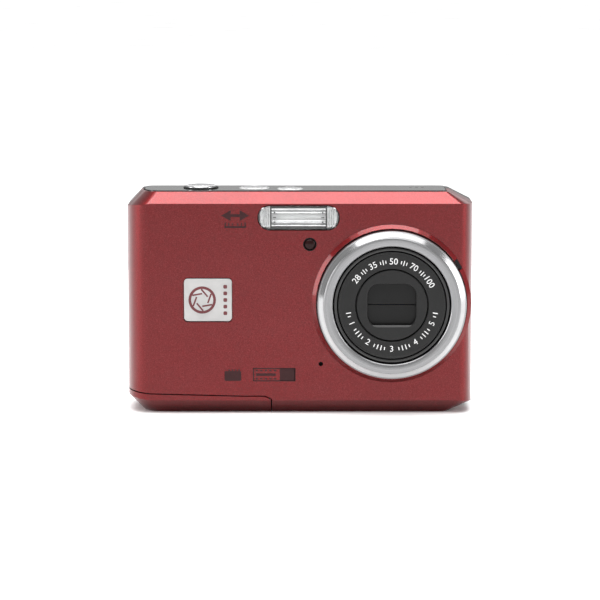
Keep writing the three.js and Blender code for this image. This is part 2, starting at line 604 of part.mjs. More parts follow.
const SENSOR = { w: 7, h: 5.6 };
const imageSensor = box(LENS_X - SENSOR.w / 2, LENS_X + SENSOR.w / 2, plateFront - 1.2, plateFront + 1,
  LENS_Z - SENSOR.h / 2, LENS_Z + SENSOR.h / 2);
add("image_sensor", imageSensor, 0x33406a, 0.3);

// ---- frame, boards and sockets ----
const frameY = plateFront + 1.3;
const mainFrame = box(boxX1 + GAP, right, frameY, frameY + 0.6, TRIPOD.h + GAP, 54)
  .intersect(inside)
  .subtract(roundedY(LENS_X, LENS_Z, 12, 10, 1, frameY - 1, frameY + 2))
  .add(box(TRIPOD.x - 4.9, TRIPOD.x + 5, TRIPOD.y - 5, frameY + 0.6, TRIPOD.h + GAP, TRIPOD.h + GAP + 0.8));
add("main_frame", mainFrame, SILVER, 0.4, 1);
const tripodSocket = rodZ(TRIPOD.r, TRIPOD.x, TRIPOD.y, 0, TRIPOD.h, 32).subtract(
  rodZ(TRIPOD.bore, TRIPOD.x, TRIPOD.y, -1, TRIPOD.h - 1, 32));
add("tripod_socket", tripodSocket, BRASS, 0.4, 1);
const cardY0 = frameY + 0.9;
const cardY1 = cardY0 + CARD.t + 0.5;
const slotX1 = right - WALL - GAP;
const slotZ1 = SIDE_DOOR.z1 - 1.5;
const slotZ0 = slotZ1 - CARD.w - 2;
const cardSlot = box(slotX1 - CARD.l + 3, slotX1, cardY0, cardY1, slotZ0, slotZ1).subtract(
  box(slotX1 - CARD.l + 4, slotX1 + 1, cardY0 + 0.25, cardY1 - 0.25, slotZ0 + 0.7, slotZ1 - 0.7));
add("sd_card_slot", cardSlot, SILVER, 0.35, 1);
const usbZ0 = SIDE_DOOR.z0 + 1.5;
const usbSocket = box(slotX1 - 8, slotX1, cardY0, cardY1, usbZ0, usbZ0 + 7.6).subtract(
  box(slotX1 - 7, slotX1 + 1, cardY0 + 0.4, cardY1 - 0.4, usbZ0 + 0.4, usbZ0 + 7.2));
add("usb_socket", usbSocket, SILVER, 0.3, 1);
const mainBoardY = cardY1 + GAP;
const mainBoard = box(boxX1 + GAP, right - 3, mainBoardY, mainBoardY + 0.5, 5, 52).intersect(inside);
add("main_board", mainBoard, GREEN, 0.5);

// ---- rear display and keys ----
const lcdFace = back - 0.1;
add("lcd_window", roundedY(LCD_X, LCD_Z, LCD_W, LCD_H, 1.2, lcdFace - 0.9, lcdFace), 0x0c0d0f, 0.08);
const panelY1 = lcdFace - 0.9 - GAP;
const panelY0 = panelY1 - 1.3;
add("lcd_panel", box(LCD_X - LCD_W / 2 + 0.5, LCD_X + LCD_W / 2 - 0.5, panelY0, panelY1,
  LCD_Z - LCD_H / 2 + 0.5, LCD_Z + LCD_H / 2 - 0.5), 0x15171b, 0.2);
const lcdBracket = box(LCD_X - LCD_W / 2 + 0.5, LCD_X + LCD_W / 2 - 0.5, panelY0 - GAP - 0.3, panelY0 - GAP,
  LCD_Z - LCD_H / 2 + 0.5, LCD_Z + LCD_H / 2 - 0.5)
  .subtract(roundedY(LCD_X, LCD_Z, LCD_W - 10, LCD_H - 10, 2, panelY0 - 2, panelY0));
add("lcd_bracket", lcdBracket, SILVER, 0.4, 1);

const keyBoardY = boxBackY + GAP;
const keyBoard = box(left + 3, boxX1 - 8, keyBoardY, keyBoardY + 0.5, 6.5, 53).intersect(inside);
add("rear_key_board", keyBoard, GREEN, 0.5);
const innerBack = back - WALL - GAP;
const flangeY = innerBack - KEY_FLANGE;
const keyFace = back + KEY_PROUD;
Object.entries(SMALL_KEYS).forEach(([name, { x, z }]) => {
  const key = latheY([
    [0, flangeY],
    [SMALL_KEY_R + 0.7, flangeY],
    [SMALL_KEY_R + 0.7, innerBack],
    [SMALL_KEY_R, innerBack],
    [SMALL_KEY_R, keyFace - 0.2],
    [SMALL_KEY_R - 0.2, keyFace],
    [0, keyFace],
  ], x, z, 24);
  add(name, key, DARK, 0.4);
});
const rockerW = ROCKER.w - 0.4; // its ends swing, so they get more room than its sides
const rocker = roundedY(ROCKER.x, ROCKER.z, rockerW, ROCKER.h, ROCKER.h / 2 - 0.01, flangeY, keyFace);
add("zoom_rocker", rocker, DARK, 0.4);
const carrierY0 = innerBack - 1.2;
const navCarrier = tubeY(NAV.bore + 0.5, NAV.r - 0.4, NAV.x, NAV.z, carrierY0, carrierY0 + 0.5, 32);
add("nav_carrier", navCarrier, DARK, 0.5);
const navBack = innerBack - 0.4;
const navRing = latheY([
  [NAV.bore, navBack],
  [NAV.r, navBack],
  [NAV.r, keyFace - 0.3],
  [NAV.r - 0.3, keyFace],
  [NAV.bore + 0.4, keyFace - 0.25],
  [NAV.bore, keyFace - 0.5],
  [NAV.bore, navBack],
], NAV.x, NAV.z, 40);
add("nav_ring", navRing, DARK, 0.35);
const setR = NAV.bore - 0.4;
const setButton = latheY([
  [0, flangeY],
  [setR, flangeY],
  [setR, keyFace - 0.2],
  [setR - 0.2, keyFace],
  [0, keyFace],
], NAV.x, NAV.z, 24);
add("set_button", setButton, DARK, 0.35);

// The origin goes to the middle of the bounding box's base.
const object = new THREE.Group();
camera.position.set(-(lugX0 + right) / 2, -(ringFront + keyFace) / 2, 0);
object.add(camera);

export default object;
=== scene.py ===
"""Compact digital camera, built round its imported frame: metres, +Z up, lens towards -Y."""
import math

import bpy
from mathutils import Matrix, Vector


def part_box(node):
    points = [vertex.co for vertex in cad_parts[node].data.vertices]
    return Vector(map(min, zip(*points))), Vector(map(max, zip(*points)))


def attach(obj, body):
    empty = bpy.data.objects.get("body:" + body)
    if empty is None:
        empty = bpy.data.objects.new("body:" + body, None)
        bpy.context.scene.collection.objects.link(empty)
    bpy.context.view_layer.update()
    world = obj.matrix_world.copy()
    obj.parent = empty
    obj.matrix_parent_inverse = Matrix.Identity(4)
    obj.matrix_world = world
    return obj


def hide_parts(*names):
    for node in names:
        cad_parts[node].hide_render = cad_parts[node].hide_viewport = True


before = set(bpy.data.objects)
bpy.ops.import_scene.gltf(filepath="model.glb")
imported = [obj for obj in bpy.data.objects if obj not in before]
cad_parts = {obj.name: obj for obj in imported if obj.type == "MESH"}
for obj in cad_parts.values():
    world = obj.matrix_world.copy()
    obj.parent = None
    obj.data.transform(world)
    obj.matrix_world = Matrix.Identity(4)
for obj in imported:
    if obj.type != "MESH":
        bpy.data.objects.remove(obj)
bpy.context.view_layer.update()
scene = bpy.context.scene
mm = 0.001

# ---- View, floor and light ----
# The camera stands on a white sweep of paper under one large overhead softbox. A narrow strip
# hangs in front, a low one stands behind, and a wide panel lights each side.
case_low, case_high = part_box("front_cover")
lens_side_shift = 0.12 * mm
aim_height = 28.73 * mm
aim = Vector(((case_low.x + case_high.x) / 2 + lens_side_shift, 1.9 * mm, aim_height))
view_tilt = math.radians(8)
view_reach = 0.7
view_data = bpy.data.cameras.new("view")
view_data.sensor_width = 36
view_data.lens = 157.75
view_data.clip_start = 0.01
view = bpy.data.objects.new("view", view_data)
scene.collection.objects.link(view)
view.location = aim + Vector((0, -math.cos(view_tilt), math.sin(view_tilt))) * view_reach
view.rotation_euler = (math.pi / 2 - view_tilt, 0, 0)
scene.camera = view
scene.view_settings.view_transform = "Standard"


def put(tree, kind, **settings):
    """Adds a shader node. A setting that has an input's name sets or links it."""
    made = tree.nodes.new(kind)
    for name, value in settings.items():
        plain = name.replace("_", " ")
        socket = next((s for s in made.inputs if s.name.lower() == plain and s.enabled), None)
        if socket is None:
            setattr(made, name, value)
        elif isinstance(value, bpy.types.NodeSocket):
            tree.links.new(value, socket)
        else:
            socket.default_value = value
    return made


def new_finish(name, **surface):
    """A Principled material with plain values, its tree and its shader."""
    made = bpy.data.materials.new(name)
    made.use_nodes = True
    tree = made.node_tree
    tree.nodes.clear()
    shader = put(tree, "ShaderNodeBsdfPrincipled", **surface)
    out = put(tree, "ShaderNodeOutputMaterial")
    tree.links.new(shader.outputs["BSDF"], out.inputs["Surface"])
    return made, tree, shader


def grey(value):
    return (value, value, value, 1)


def new_effect(name, inputs, outputs):
    """An empty shader node group with the named number inputs and outputs."""
    group = bpy.data.node_groups.new(name, "ShaderNodeTree")
    for label, start in inputs:
        socket = group.interface.new_socket(
            name=label, in_out="INPUT", socket_type="NodeSocketFloat"
        )
        socket.default_value = start
    for label in outputs:
        group.interface.new_socket(name=label, in_out="OUTPUT", socket_type="NodeSocketFloat")
    return group, group.nodes.new("NodeGroupInput"), group.nodes.new("NodeGroupOutput")


# Grain is the fine texture of a moulded, cast or sprayed skin; Cloud is its slow unevenness.
skin_grain, given, result = new_effect(
    "skin_grain", [("Fine", 6000), ("Broad", 90)], ["Grain", "Cloud"]
)
place = put(skin_grain, "ShaderNodeTexCoord")
fine = put(skin_grain, "ShaderNodeTexNoise", vector=place.outputs["Object"],
           scale=given.outputs["Fine"],
           detail=2.0, roughness=0.6)
broad = put(skin_grain, "ShaderNodeTexNoise", vector=place.outputs["Object"],
            scale=given.outputs["Broad"],
            detail=3.0, roughness=0.5)
skin_grain.links.new(fine.outputs["Fac"], result.inputs["Grain"])
skin_grain.links.new(broad.outputs["Fac"], result.inputs["Cloud"])


def with_grain(tree, fine_scale, broad_scale):
    return put(tree, "ShaderNodeGroup", node_tree=skin_grain, fine=fine_scale, broad=broad_scale)


def ramp(tree, driver, *stops):
    """Colours or greys along a mask, each stop a place and a colour."""
    node = put(tree, "ShaderNodeValToRGB", fac=driver)
    marks = node.color_ramp.elements
    while len(marks) < len(stops):
        marks.new(0.5)
    for mark, (spot, colour) in zip(marks, stops):
        mark.position = spot
        mark.color = colour if isinstance(colour, tuple) else grey(colour)
    return node.outputs["Color"]


def bump(tree, shader, height, depth, strength=1.0):
    made = put(tree, "ShaderNodeBump", height=height, strength=strength, distance=depth)
    tree.links.new(made.outputs["Normal"], shader.inputs["Normal"])


def moulded(name, colour, roughness, fine=5000, broad=120, depth=0.02 * mm, spread=0.06, **surface):
    """A plain finish with fine grain: its colour and roughness drift a little over the surface."""
    made, tree, shader = new_finish(name, **surface)
    grain = with_grain(tree, fine, broad)
    light = tuple(min(c * 1.12, 1) for c in colour[:3]) + (1,)
    dark = tuple(c * 0.88 for c in colour[:3]) + (1,)
    tree.links.new(
        ramp(tree, grain.outputs["Cloud"], (0.3, dark), (0.7, light)), shader.inputs["Base Color"]
    )
    rough = ramp(
        tree, grain.outputs["Grain"], (0.25, max(roughness - spread, 0.02)),
        (0.75, roughness + spread)
    )
    tree.links.new(rough, shader.inputs["Roughness"])
    bump(tree, shader, grain.outputs["Grain"], depth)
    return made


bpy.ops.object.select_all(action="DESELECT")
bpy.ops.mesh.primitive_grid_add(x_subdivisions=10, y_subdivisions=10, size=60)
floor = bpy.context.object
floor.name = "floor"
floor.data.materials.append(moulded("sweep_paper", grey(0.975), 0.9, 900, 20, 0.001 * mm, 0.004))

world = bpy.data.worlds.new("studio")
scene.world = world
world.use_nodes = True
world.node_tree.nodes["Background"].inputs["Color"].default_value = (1, 1, 1, 1)
world.node_tree.nodes["Background"].inputs["Strength"].default_value = 0.5


def softbox(name, place, width, height, power):
    """A rectangular light that faces the middle of the case."""
    data = bpy.data.lights.new(name, "AREA")
    data.shape = "RECTANGLE"
    data.size, data.size_y = width, height
    data.energy = power
    lamp = bpy.data.objects.new(name, data)
    scene.collection.objects.link(lamp)
    lamp.location = place
    towards = Vector((0, 0, 30 * mm)) - Vector(place)
    lamp.rotation_euler = towards.to_track_quat("-Z", "Y").to_euler()


softbox("overhead", (0, 0.03, 0.8), 0.75, 0.28, 4.6)
softbox("front_strip", (-0.12, -0.5, 0.78), 1.0, 0.12, 1.5)
softbox("back_strip", (0, 0.8, 0.5), 1.0, 0.4, 1.6)
softbox("left_panel", (-0.9, -0.1, 0.3), 0.3, 0.6, 3.5)
softbox("right_panel", (0.9, -0.3, 0.3), 0.3, 0.6, 3.5)
sky_data = bpy.data.lights.new("ceiling", "SUN")
sky_data.energy = 2.1
sky_data.angle = math.radians(70)
ceiling = bpy.data.objects.new("ceiling", sky_data)
scene.collection.objects.link(ceiling)
ceiling.rotation_euler = (math.radians(12), 0, 0)

# ---- Case: front cover and battery door ----
# Two moulded shells of one red skin: metallic lacquer under a clear coat. The front cover snaps
# over the frame, and the door is its lower left corner.


def bare():
    """Leaves edit mode and deselects everything."""
    if bpy.context.object and bpy.context.object.mode != "OBJECT":
        bpy.ops.object.mode_set(mode="OBJECT")
    bpy.ops.object.select_all(action="DESELECT")


def pick(piece):
    bare()
    piece.select_set(True)
    bpy.context.view_layer.objects.active = piece


def bake_modifiers(piece):
    pick(piece)
    for modifier in list(piece.modifiers):
        bpy.ops.object.modifier_apply(modifier=modifier.name)


def rounded_edges(piece, width, segments=3):
    """Rounds the sharper edges, and lets the wide faces lead the shading."""
    bevel = piece.modifiers.new("round", "BEVEL")
    bevel.width = width
    bevel.segments = segments
    bevel.limit_method = "ANGLE"
    bevel.angle_limit = math.radians(28)
    bake_modifiers(piece)
    bpy.ops.object.shade_smooth_by_angle(angle=math.radians(35))
    lead = piece.modifiers.new("lead", "WEIGHTED_NORMAL")
    lead.keep_sharp = True
    bake_modifiers(piece)


def skin_of(node, name, edge, segments=3, trim=None):
    """The moulded part of a CAD node: its triangles welded into plain faces, its edges rounded,
    and what stands above the trim height cut off."""
    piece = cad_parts[node].copy()
    piece.data = piece.data.copy()
    piece.name = name
    piece.data.name = name
    for key in list(piece.keys()):
        del piece[key]
    scene.collection.objects.link(piece)
    piece.parent = None
    piece.data.materials.clear()
    pick(piece)
    bpy.ops.object.mode_set(mode="EDIT")
    bpy.ops.mesh.select_all(action="SELECT")
    bpy.ops.mesh.remove_doubles(threshold=1e-6)
    bpy.ops.mesh.dissolve_limited(angle_limit=math.radians(0.4))
    if trim:
        bpy.ops.mesh.select_all(action="SELECT")
        bpy.ops.mesh.bisect(
            plane_co=(0, 0, trim), plane_no=(0, 0, 1), use_fill=True, clear_outer=True
        )
    bpy.ops.object.mode_set(mode="OBJECT")
    if edge:
        rounded_edges(piece, edge, segments)
    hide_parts(node)
    return piece


def fit_piece(piece, body, material):
    """Gives a piece its finish and the body that it moves with."""
    piece.data.materials.clear()
    piece.data.materials.append(material)
    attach(piece, body)


red_lacquer, tree, shader = new_finish(
    "red_lacquer", metallic=1.0, coat_weight=0.52, coat_roughness=0.07, coat_ior=1.5)
flake = with_grain(tree, 5200, 60)
tree.links.new(ramp(tree, flake.outputs["Grain"], (0.3, (0.09, 0.003, 0.004, 1)),
                    (0.52, (0.138, 0.005, 0.006, 1)),
                    (0.72, (0.215, 0.016, 0.020, 1))), shader.inputs["Base Color"])
tree.links.new(
    ramp(tree, flake.outputs["Cloud"], (0.3, 0.36), (0.7, 0.44)), shader.inputs["Roughness"]
)
bump(tree, shader, flake.outputs["Grain"], 0.006 * mm, 0.5)

plate_step = case_high.z - 0.28 * mm  # the top plate stands this much proud of the covers
front_cover = skin_of("front_cover", "red_front_cover", None, trim=plate_step)


def axis_of(node, along=None):
    """The middle of a CAD node's box, brought to zero along the axis that a piece turns about."""
    low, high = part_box(node)
    return tuple(0 if letter == along else (a + b) / 2 for letter, a, b in zip("XYZ", low, high))


lens_x, _, lens_z = axis_of("lens_ring", "Y")
rim_outer = 20.9 * mm
rim_face = case_low.y
pick(front_cover)
bpy.ops.object.mode_set(mode="EDIT")
bpy.ops.mesh.select_all(action="DESELECT")
bpy.ops.object.mode_set(mode="OBJECT")


def on_rim(point):
    reach = math.hypot(point.x - lens_x, point.z - lens_z)
    return abs(point.y - rim_face) < 0.01 * mm and abs(reach - rim_outer) < 0.08 * mm


for edge in front_cover.data.edges:
    edge.select = all(on_rim(front_cover.data.vertices[i].co) for i in edge.vertices)
bpy.ops.object.mode_set(mode="EDIT")
bpy.ops.mesh.bevel(offset=0.95 * mm, segments=1, affect="EDGES")
bpy.ops.object.mode_set(mode="OBJECT")


def block(size, place, turn=(0, 0, 0)):
    """A plain block, with its place and turn in its mesh."""
    bare()
    bpy.ops.mesh.primitive_cube_add(size=1)
    made = bpy.context.object
    made.scale = size
    made.location = place
    made.rotation_euler = turn
    bpy.ops.object.transform_apply(location=True, rotation=True, scale=True)
    return made


def cut_away(piece, cutter):
    """Takes the cutter's shape out of a piece."""
    cut = piece.modifiers.new("cut", "BOOLEAN")
    cut.operation = "DIFFERENCE"
    cut.object = cutter
    bake_modifiers(piece)
    bpy.data.objects.remove(cutter)


notch_turn = math.radians(31)
notch_reach = 20.25 * mm


def notch_block(depth, width, length, y):
    """A block across the rim, at the place of the ring's release notch."""
    x = lens_x + notch_reach * math.cos(notch_turn)
    z = lens_z + notch_reach * math.sin(notch_turn)
    return block((width, depth, length), (x, y, z), (0, -notch_turn, 0))


cut_away(front_cover, notch_block(2 * mm, 1.0 * mm, 2.9 * mm, rim_face))
rounded_edges(front_cover, 0.14 * mm)
fit_piece(front_cover, "root", red_lacquer)
fit_piece(
    skin_of("battery_door", "red_battery_door", 0.1 * mm), "battery_door", red_lacquer
)

# ---- Lens ring, barrels and barrier ----
# The ring is turned aluminium, glass-blasted and anodised, with bright cut bevels. The barrels are
# black moulded tubes, and two sprung blades close the square mouth of the front one.


def turned(name, profile, axis="Y", centre=(lens_x, 0, lens_z), steps=96, closed=True):
    """A piece turned on a lathe: its profile, given as radius and place along the axis, is drawn
    point by point and spun a full turn."""
    along = Vector((
        0, 1, 0
    )) if axis == "Y" else Vector((0, 0, 1)) if axis == "Z" else Vector((1, 0, 0))
    outwards = Vector((1, 0, 0)) if axis != "X" else Vector((0, 0, 1))
    points = [Vector(centre) + outwards * r + along * a for r, a in profile]
    bare()
    bpy.ops.mesh.primitive_plane_add(size=mm)
    piece = bpy.context.object
    piece.name = name
    piece.data.name = name
    bpy.ops.object.mode_set(mode="EDIT")
    bpy.ops.mesh.merge(type="CENTER")
    bpy.ops.transform.translate(value=points[0])
    if closed:
        points.append(points[0])
    for start, end in zip(points, points[1:]):
        bpy.ops.mesh.extrude_vertices_move(TRANSFORM_OT_translate={"value": end - start})
    bpy.ops.mesh.select_all(action="SELECT")
    bpy.ops.mesh.spin(steps=steps, angle=math.tau, center=centre, axis=along)
    bpy.ops.mesh.select_all(action="SELECT")
    bpy.ops.mesh.remove_doubles(threshold=0.0005 * mm)
    bpy.ops.mesh.normals_make_consistent(inside=False)
    bpy.ops.object.mode_set(mode="OBJECT")
    bpy.ops.object.shade_smooth_by_angle(angle=math.radians(24))
    return piece


# Rings is the track of a tool round an axis along Y: fine lines that change only with the radius.
turning_marks, given, result = new_effect(
    "turning_marks", [("Centre X", 0.0), ("Centre Z", 0.0), ("Pitch", 4000)], ["Rings"])
place = put(turning_marks, "ShaderNodeTexCoord")
apart = put(turning_marks, "ShaderNodeSeparateXYZ", vector=place.outputs["Object"])
across = put(turning_marks, "ShaderNodeMath", operation="SUBTRACT")
upward = put(turning_marks, "ShaderNodeMath", operation="SUBTRACT")
for node, own, centre in ((across, "X", "Centre X"), (upward, "Z", "Centre Z")):
    turning_marks.links.new(apart.outputs[own], node.inputs[0])
    turning_marks.links.new(given.outputs[centre], node.inputs[1])
flat = put(turning_marks, "ShaderNodeCombineXYZ", x=across.outputs[0], y=upward.outputs[0])
radius = put(turning_marks, "ShaderNodeVectorMath", operation="LENGTH")
turning_marks.links.new(flat.outputs[0], radius.inputs[0])
lines = put(turning_marks, "ShaderNodeTexNoise", noise_dimensions="1D", w=radius.outputs["Value"],
            scale=given.outputs["Pitch"], detail=3.0)
turning_marks.links.new(lines.outputs["Fac"], result.inputs["Rings"])


def turned_metal(name, colour, roughness, pitch, centre, depth=0.004 * mm, **surface):
    made, tree, shader = new_finish(name, metallic=1.0, **surface)
    marks = put(
        tree, "ShaderNodeGroup", node_tree=turning_marks, centre_x=centre[0], centre_z=centre[1],
        pitch=pitch
    )
    grain = with_grain(tree, 9000, 200)
    light = tuple(min(c * 1.06, 1) for c in colour[:3]) + (1,)
    dark = tuple(c * 0.94 for c in colour[:3]) + (1,)
    tree.links.new(
        ramp(tree, marks.outputs["Rings"], (0.35, dark), (0.65, light)), shader.inputs["Base Color"]
    )
    tree.links.new(ramp(tree, grain.outputs["Grain"], (0.3, roughness - 0.04),
                        (0.7, roughness + 0.04)),
                   shader.inputs["Roughness"])
    bump(tree, shader, marks.outputs["Rings"], depth, 0.6)
    return made


ring_low, ring_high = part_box("lens_ring")
blasted_ring = turned_metal("blasted_ring", (0.265, 0.265, 0.27), 0.3, 2500, (lens_x, lens_z))
ring_face = ring_low.y
ring_bore = 15.45 * mm
ring_r = (ring_high.x - ring_low.x) / 2
lens_ring = turned("silver_lens_ring", [
    (ring_bore, ring_high.y), (ring_r, ring_high.y), (ring_r, ring_face + 1.3 * mm),
    (ring_r - 0.08 * mm, ring_face + 1.12 * mm), (ring_r - 0.3 * mm, ring_face + 0.98 * mm),
    (ring_r - 0.42 * mm, ring_face + 0.9 * mm), (ring_r - 1.58 * mm, ring_face + 0.14 * mm),
    (ring_r - 1.68 * mm, ring_face + 0.12 * mm), (ring_r - 1.78 * mm, ring_face + 0.02 * mm),
    (ring_r - 1.86 * mm, ring_face), (ring_bore + 0.36 * mm, ring_face + 0.1 * mm),
    (ring_bore + 0.26 * mm, ring_face + 0.13 * mm), (ring_bore + 0.08 * mm, ring_face + 0.3 * mm),
    (ring_bore, ring_face + 0.5 * mm), (ring_bore, ring_face + 3 * mm),
], steps=144)
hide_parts("lens_ring")
fit_piece(lens_ring, "root", blasted_ring)
cut_bevel = turned_metal("cut_bevel", (0.42, 0.42, 0.425), 0.12, 2500, (lens_x, lens_z), 0.001 * mm)
ring_bevel = turned("lens_ring_bevel", [
    (ring_r - 0.46 * mm, ring_face + 0.9 * mm), (ring_r - 0.44 * mm, ring_face + 0.85 * mm),
    (ring_r - 1.54 * mm, ring_face + 0.13 * mm), (ring_r - 1.56 * mm, ring_face + 0.2 * mm),
], steps=144)
fit_piece(ring_bevel, "root", cut_bevel)

barrel_black = moulded(
    "barrel_black", grey(0.018), 0.3, 6000, 150, 0.004 * mm, 0.04, specular_ior_level=0.5
)
face_black = moulded("face_black", grey(0.009), 0.5, 6500, 150, 0.008 * mm, 0.05,
                     specular_ior_level=0.3)


def tube_profile(node, lip):
    """The profile of a round CAD tube with a small lip rounded at its front edges."""
    low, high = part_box(node)
    outer = (high.x - low.x) / 2
    inner = outer - 0.75 * mm
    return [(inner, high.y), (outer, high.y), (outer, low.y + lip),
            (outer - 0.3 * lip, low.y + 0.3 * lip),
            (outer - lip, low.y), (inner + lip, low.y), (inner + 0.3 * lip, low.y + 0.3 * lip),
            (inner, low.y + lip)]


barrel_1 = turned("outer_barrel", tube_profile("barrel_1", 0.14 * mm))
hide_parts("barrel_1")
fit_piece(barrel_1, "barrel_1", barrel_black)
barrel_2 = skin_of("barrel_2", "inner_barrel", 0.08 * mm, 2)
fit_piece(barrel_2, "barrel_2", barrel_black)

name_low, name_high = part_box("name_ring")
name_outer = (name_high.x - name_low.x) / 2
name_bore = 9.6 * mm
name_face = name_low.y + 0.1 * mm
name_ring = turned("scale_ring", [
    (name_bore, name_high.y), (name_outer, name_high.y), (name_outer, name_low.y + 0.08 * mm),
    (name_outer - 0.08 * mm, name_low.y), (name_outer - 0.36 * mm, name_low.y),
    (name_outer - 0.48 * mm, name_face), (name_bore + 0.16 * mm, name_face),
    (name_bore + 0.05 * mm, name_face + 0.05 * mm), (name_bore, name_face + 0.14 * mm),
], steps=128)
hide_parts("name_ring")
fit_piece(name_ring, "barrel_2", face_black)

barrier_frame = skin_of("barrier_frame", "barrier_frame_face", 0.3 * mm, 4)
fit_piece(barrier_frame, "barrel_2", face_black)
blade_black = moulded("blade_black", grey(0.006), 0.42, 7000, 200, 0.004 * mm, 0.05,
                      specular_ior_level=0.22)
for node, body in (("barrier_blade_upper", "blade_upper"), ("barrier_blade_lower", "blade_lower")):
    fit_piece(skin_of(node, node + "_plate", 0.03 * mm, 2), body, blade_black)

# Numbers and ticks are pad-printed in pale ink on the face of the scale ring: five round focal
# lengths over the top, and a plain scale from one to five below.
print_depth = 0.03 * mm


def joined(name, parts):
    """Joins flat parts into one printed or moulded piece."""
    bare()
    for part in parts:
        part.select_set(True)
    bpy.context.view_layer.objects.active = parts[0]
    bpy.ops.object.join()
    piece = bpy.context.object
    piece.name = name
    piece.data.name = name
    return piece


def settle(piece):
    """Moves the object's place into its mesh."""
    pick(piece)
    bpy.ops.object.transform_apply(location=True, rotation=True, scale=True)


def on_front(x, z, y, width, height, depth=print_depth, corner=0.0, turn=0.0):
    """A thin slab that stands in front of y, with rounded corners, turned about its own middle."""
    slab = block((width, depth, height), (0, 0, 0))
    if corner:
        upright = slab.modifiers.new("corners", "BEVEL")
        upright.width = corner
        upright.segments = 5
        upright.limit_method = "WEIGHT"
        weights = slab.data.attributes.new("bevel_weight_edge", "FLOAT", "EDGE")
        for edge in slab.data.edges:
            start, end = (slab.data.vertices[i].co for i in edge.vertices)
            weights.data[edge.index].value = 1.0 if abs(start.y - end.y) > depth / 2 else 0.0
        bake_modifiers(slab)
    slab.location = (x, y - depth / 2, z)
    slab.rotation_euler = (0, -turn, 0)
    settle(slab)
    return slab


def round_mark(x, z, y, radius, depth=print_depth, sides=24, turn=0.0):
    """A thin disc, or with few sides a triangle, standing in front of y."""
    bare()
    bpy.ops.mesh.primitive_cylinder_add(vertices=sides, radius=radius, depth=depth)
    disc = bpy.context.object
    disc.rotation_euler = (math.pi / 2, 0, 0)
    settle(disc)
    disc.rotation_euler = (0, -turn, 0)
    disc.location = (x, y - depth / 2, z)
    settle(disc)
    return disc


def hoop(x, z, y, outer, inner, depth=print_depth, steps=40):
    return turned("hoop", [(inner, y), (inner, y - depth), (outer, y - depth), (outer, y)],
                  centre=(x, 0, z), steps=steps)


def digits(text, size, y, depth=print_depth):
    """Numerals as a thin mesh that stands in the XZ plane, centred on the origin."""
    curve = bpy.data.curves.new("digits", "FONT")
    curve.body = text
    curve.size = size
    curve.align_x = "CENTER"
    curve.align_y = "CENTER"
    curve.extrude = depth / 2
    curve.resolution_u = 3
    written = bpy.data.objects.new("digits", curve)
    scene.collection.objects.link(written)
    pick(written)
    bpy.ops.object.convert(target="MESH")
    written = bpy.context.object
    bpy.ops.object.mode_set(mode="EDIT")
    bpy.ops.mesh.select_all(action="SELECT")
    bpy.ops.mesh.remove_doubles(threshold=0.0005 * mm)
    bpy.ops.object.mode_set(mode="OBJECT")
    written.rotation_euler = (math.pi / 2, 0, 0)
    written.location = (0, y - depth / 2, 0)
    settle(written)
    return written


def round_lens(mark, angle, radius, inverted=False):
    """Sets a mark drawn about the origin round the lens, its head outwards or inwards."""
    lean = angle - math.pi / 2 + (math.pi if inverted else 0)
    mark.rotation_euler = (0, -lean, 0)
    mark.location = (lens_x + radius * math.cos(angle), 0, lens_z + radius * math.sin(angle))
    settle(mark)
    return mark


pale_ink = moulded("pale_ink", grey(0.72), 0.5, 8000, 300, 0.003 * mm)
ring_print = []
scale_radius = 11.5 * mm
long_tick, short_tick = 1.3 * mm, 0.8 * mm
focal_lengths = ["28", "35", "50", "70", "100"]
first_focal, focal_pitch = 143, 27.5
for step, text in enumerate(focal_lengths):
    angle = math.radians(first_focal - focal_pitch * step)
    ring_print.append(round_lens(digits(text, 2.3 * mm, name_face), angle, scale_radius))
    if step + 1 < len(focal_lengths):
        for part in (0.37, 0.5, 0.63):
            tick = on_front(0, 0, name_face, 0.22 * mm, long_tick if part == 0.5 else short_tick)
            angle = math.radians(first_focal - focal_pitch * (step + part))
            ring_print.append(round_lens(tick, angle, scale_radius))
first_mark, mark_pitch, marks_per_number = 190, 4.7, 7
for step in range(5 * marks_per_number):
    angle = math.radians(first_mark + mark_pitch * step)
    number, mark = divmod(step, marks_per_number)
    if mark == 3:
        numeral = digits(str(1 + number), 2.2 * mm, name_face)
        ring_print.append(round_lens(numeral, angle, scale_radius, inverted=True))
    elif mark not in (2, 4):
        tick = on_front(0, 0, name_face, 0.24 * mm, long_tick if mark in (0, 6) else short_tick)
        ring_print.append(round_lens(tick, angle, scale_radius))
ring_print = joined("scale_ring_print", ring_print)
fit_piece(ring_print, "barrel_2", pale_ink)

# The moulded lip under the mouth of the barrier is a paler grey than the black frame, a painted
# highlight for the light its edge catches; a black pad in the rim's notch is painted shade.
frame_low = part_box("barrier_frame")[0]
mouth_lip = on_front(
    lens_x, lens_z - 5.5 * mm, frame_low.y + 0.36 * mm, 11.0 * mm, 0.6 * mm, 0.34 * mm, 0.25 * mm
)
rounded_edges(mouth_lip, 0.14 * mm, 3)
# The lip's paler grey than the black frame is a painted highlight.
lip_painted_highlight = moulded("lip_painted_highlight", grey(0.045), 0.35, 6000, 200, 0.004 * mm)
mouth_lip.name = "barrier_mouth_lip"
fit_piece(mouth_lip, "barrel_2", lip_painted_highlight)
# A black pad on the floor of the notch is painted shade where the red notch lies in shadow.
notch_shade_pad = notch_block(0.3 * mm, 0.9 * mm, 2.8 * mm, rim_face + 0.84 * mm)
rounded_edges(notch_shade_pad, 0.05 * mm, 2)
notch_shade_pad.name = "rim_notch_painted_shade"
fit_piece(notch_shade_pad, "root", blade_black)

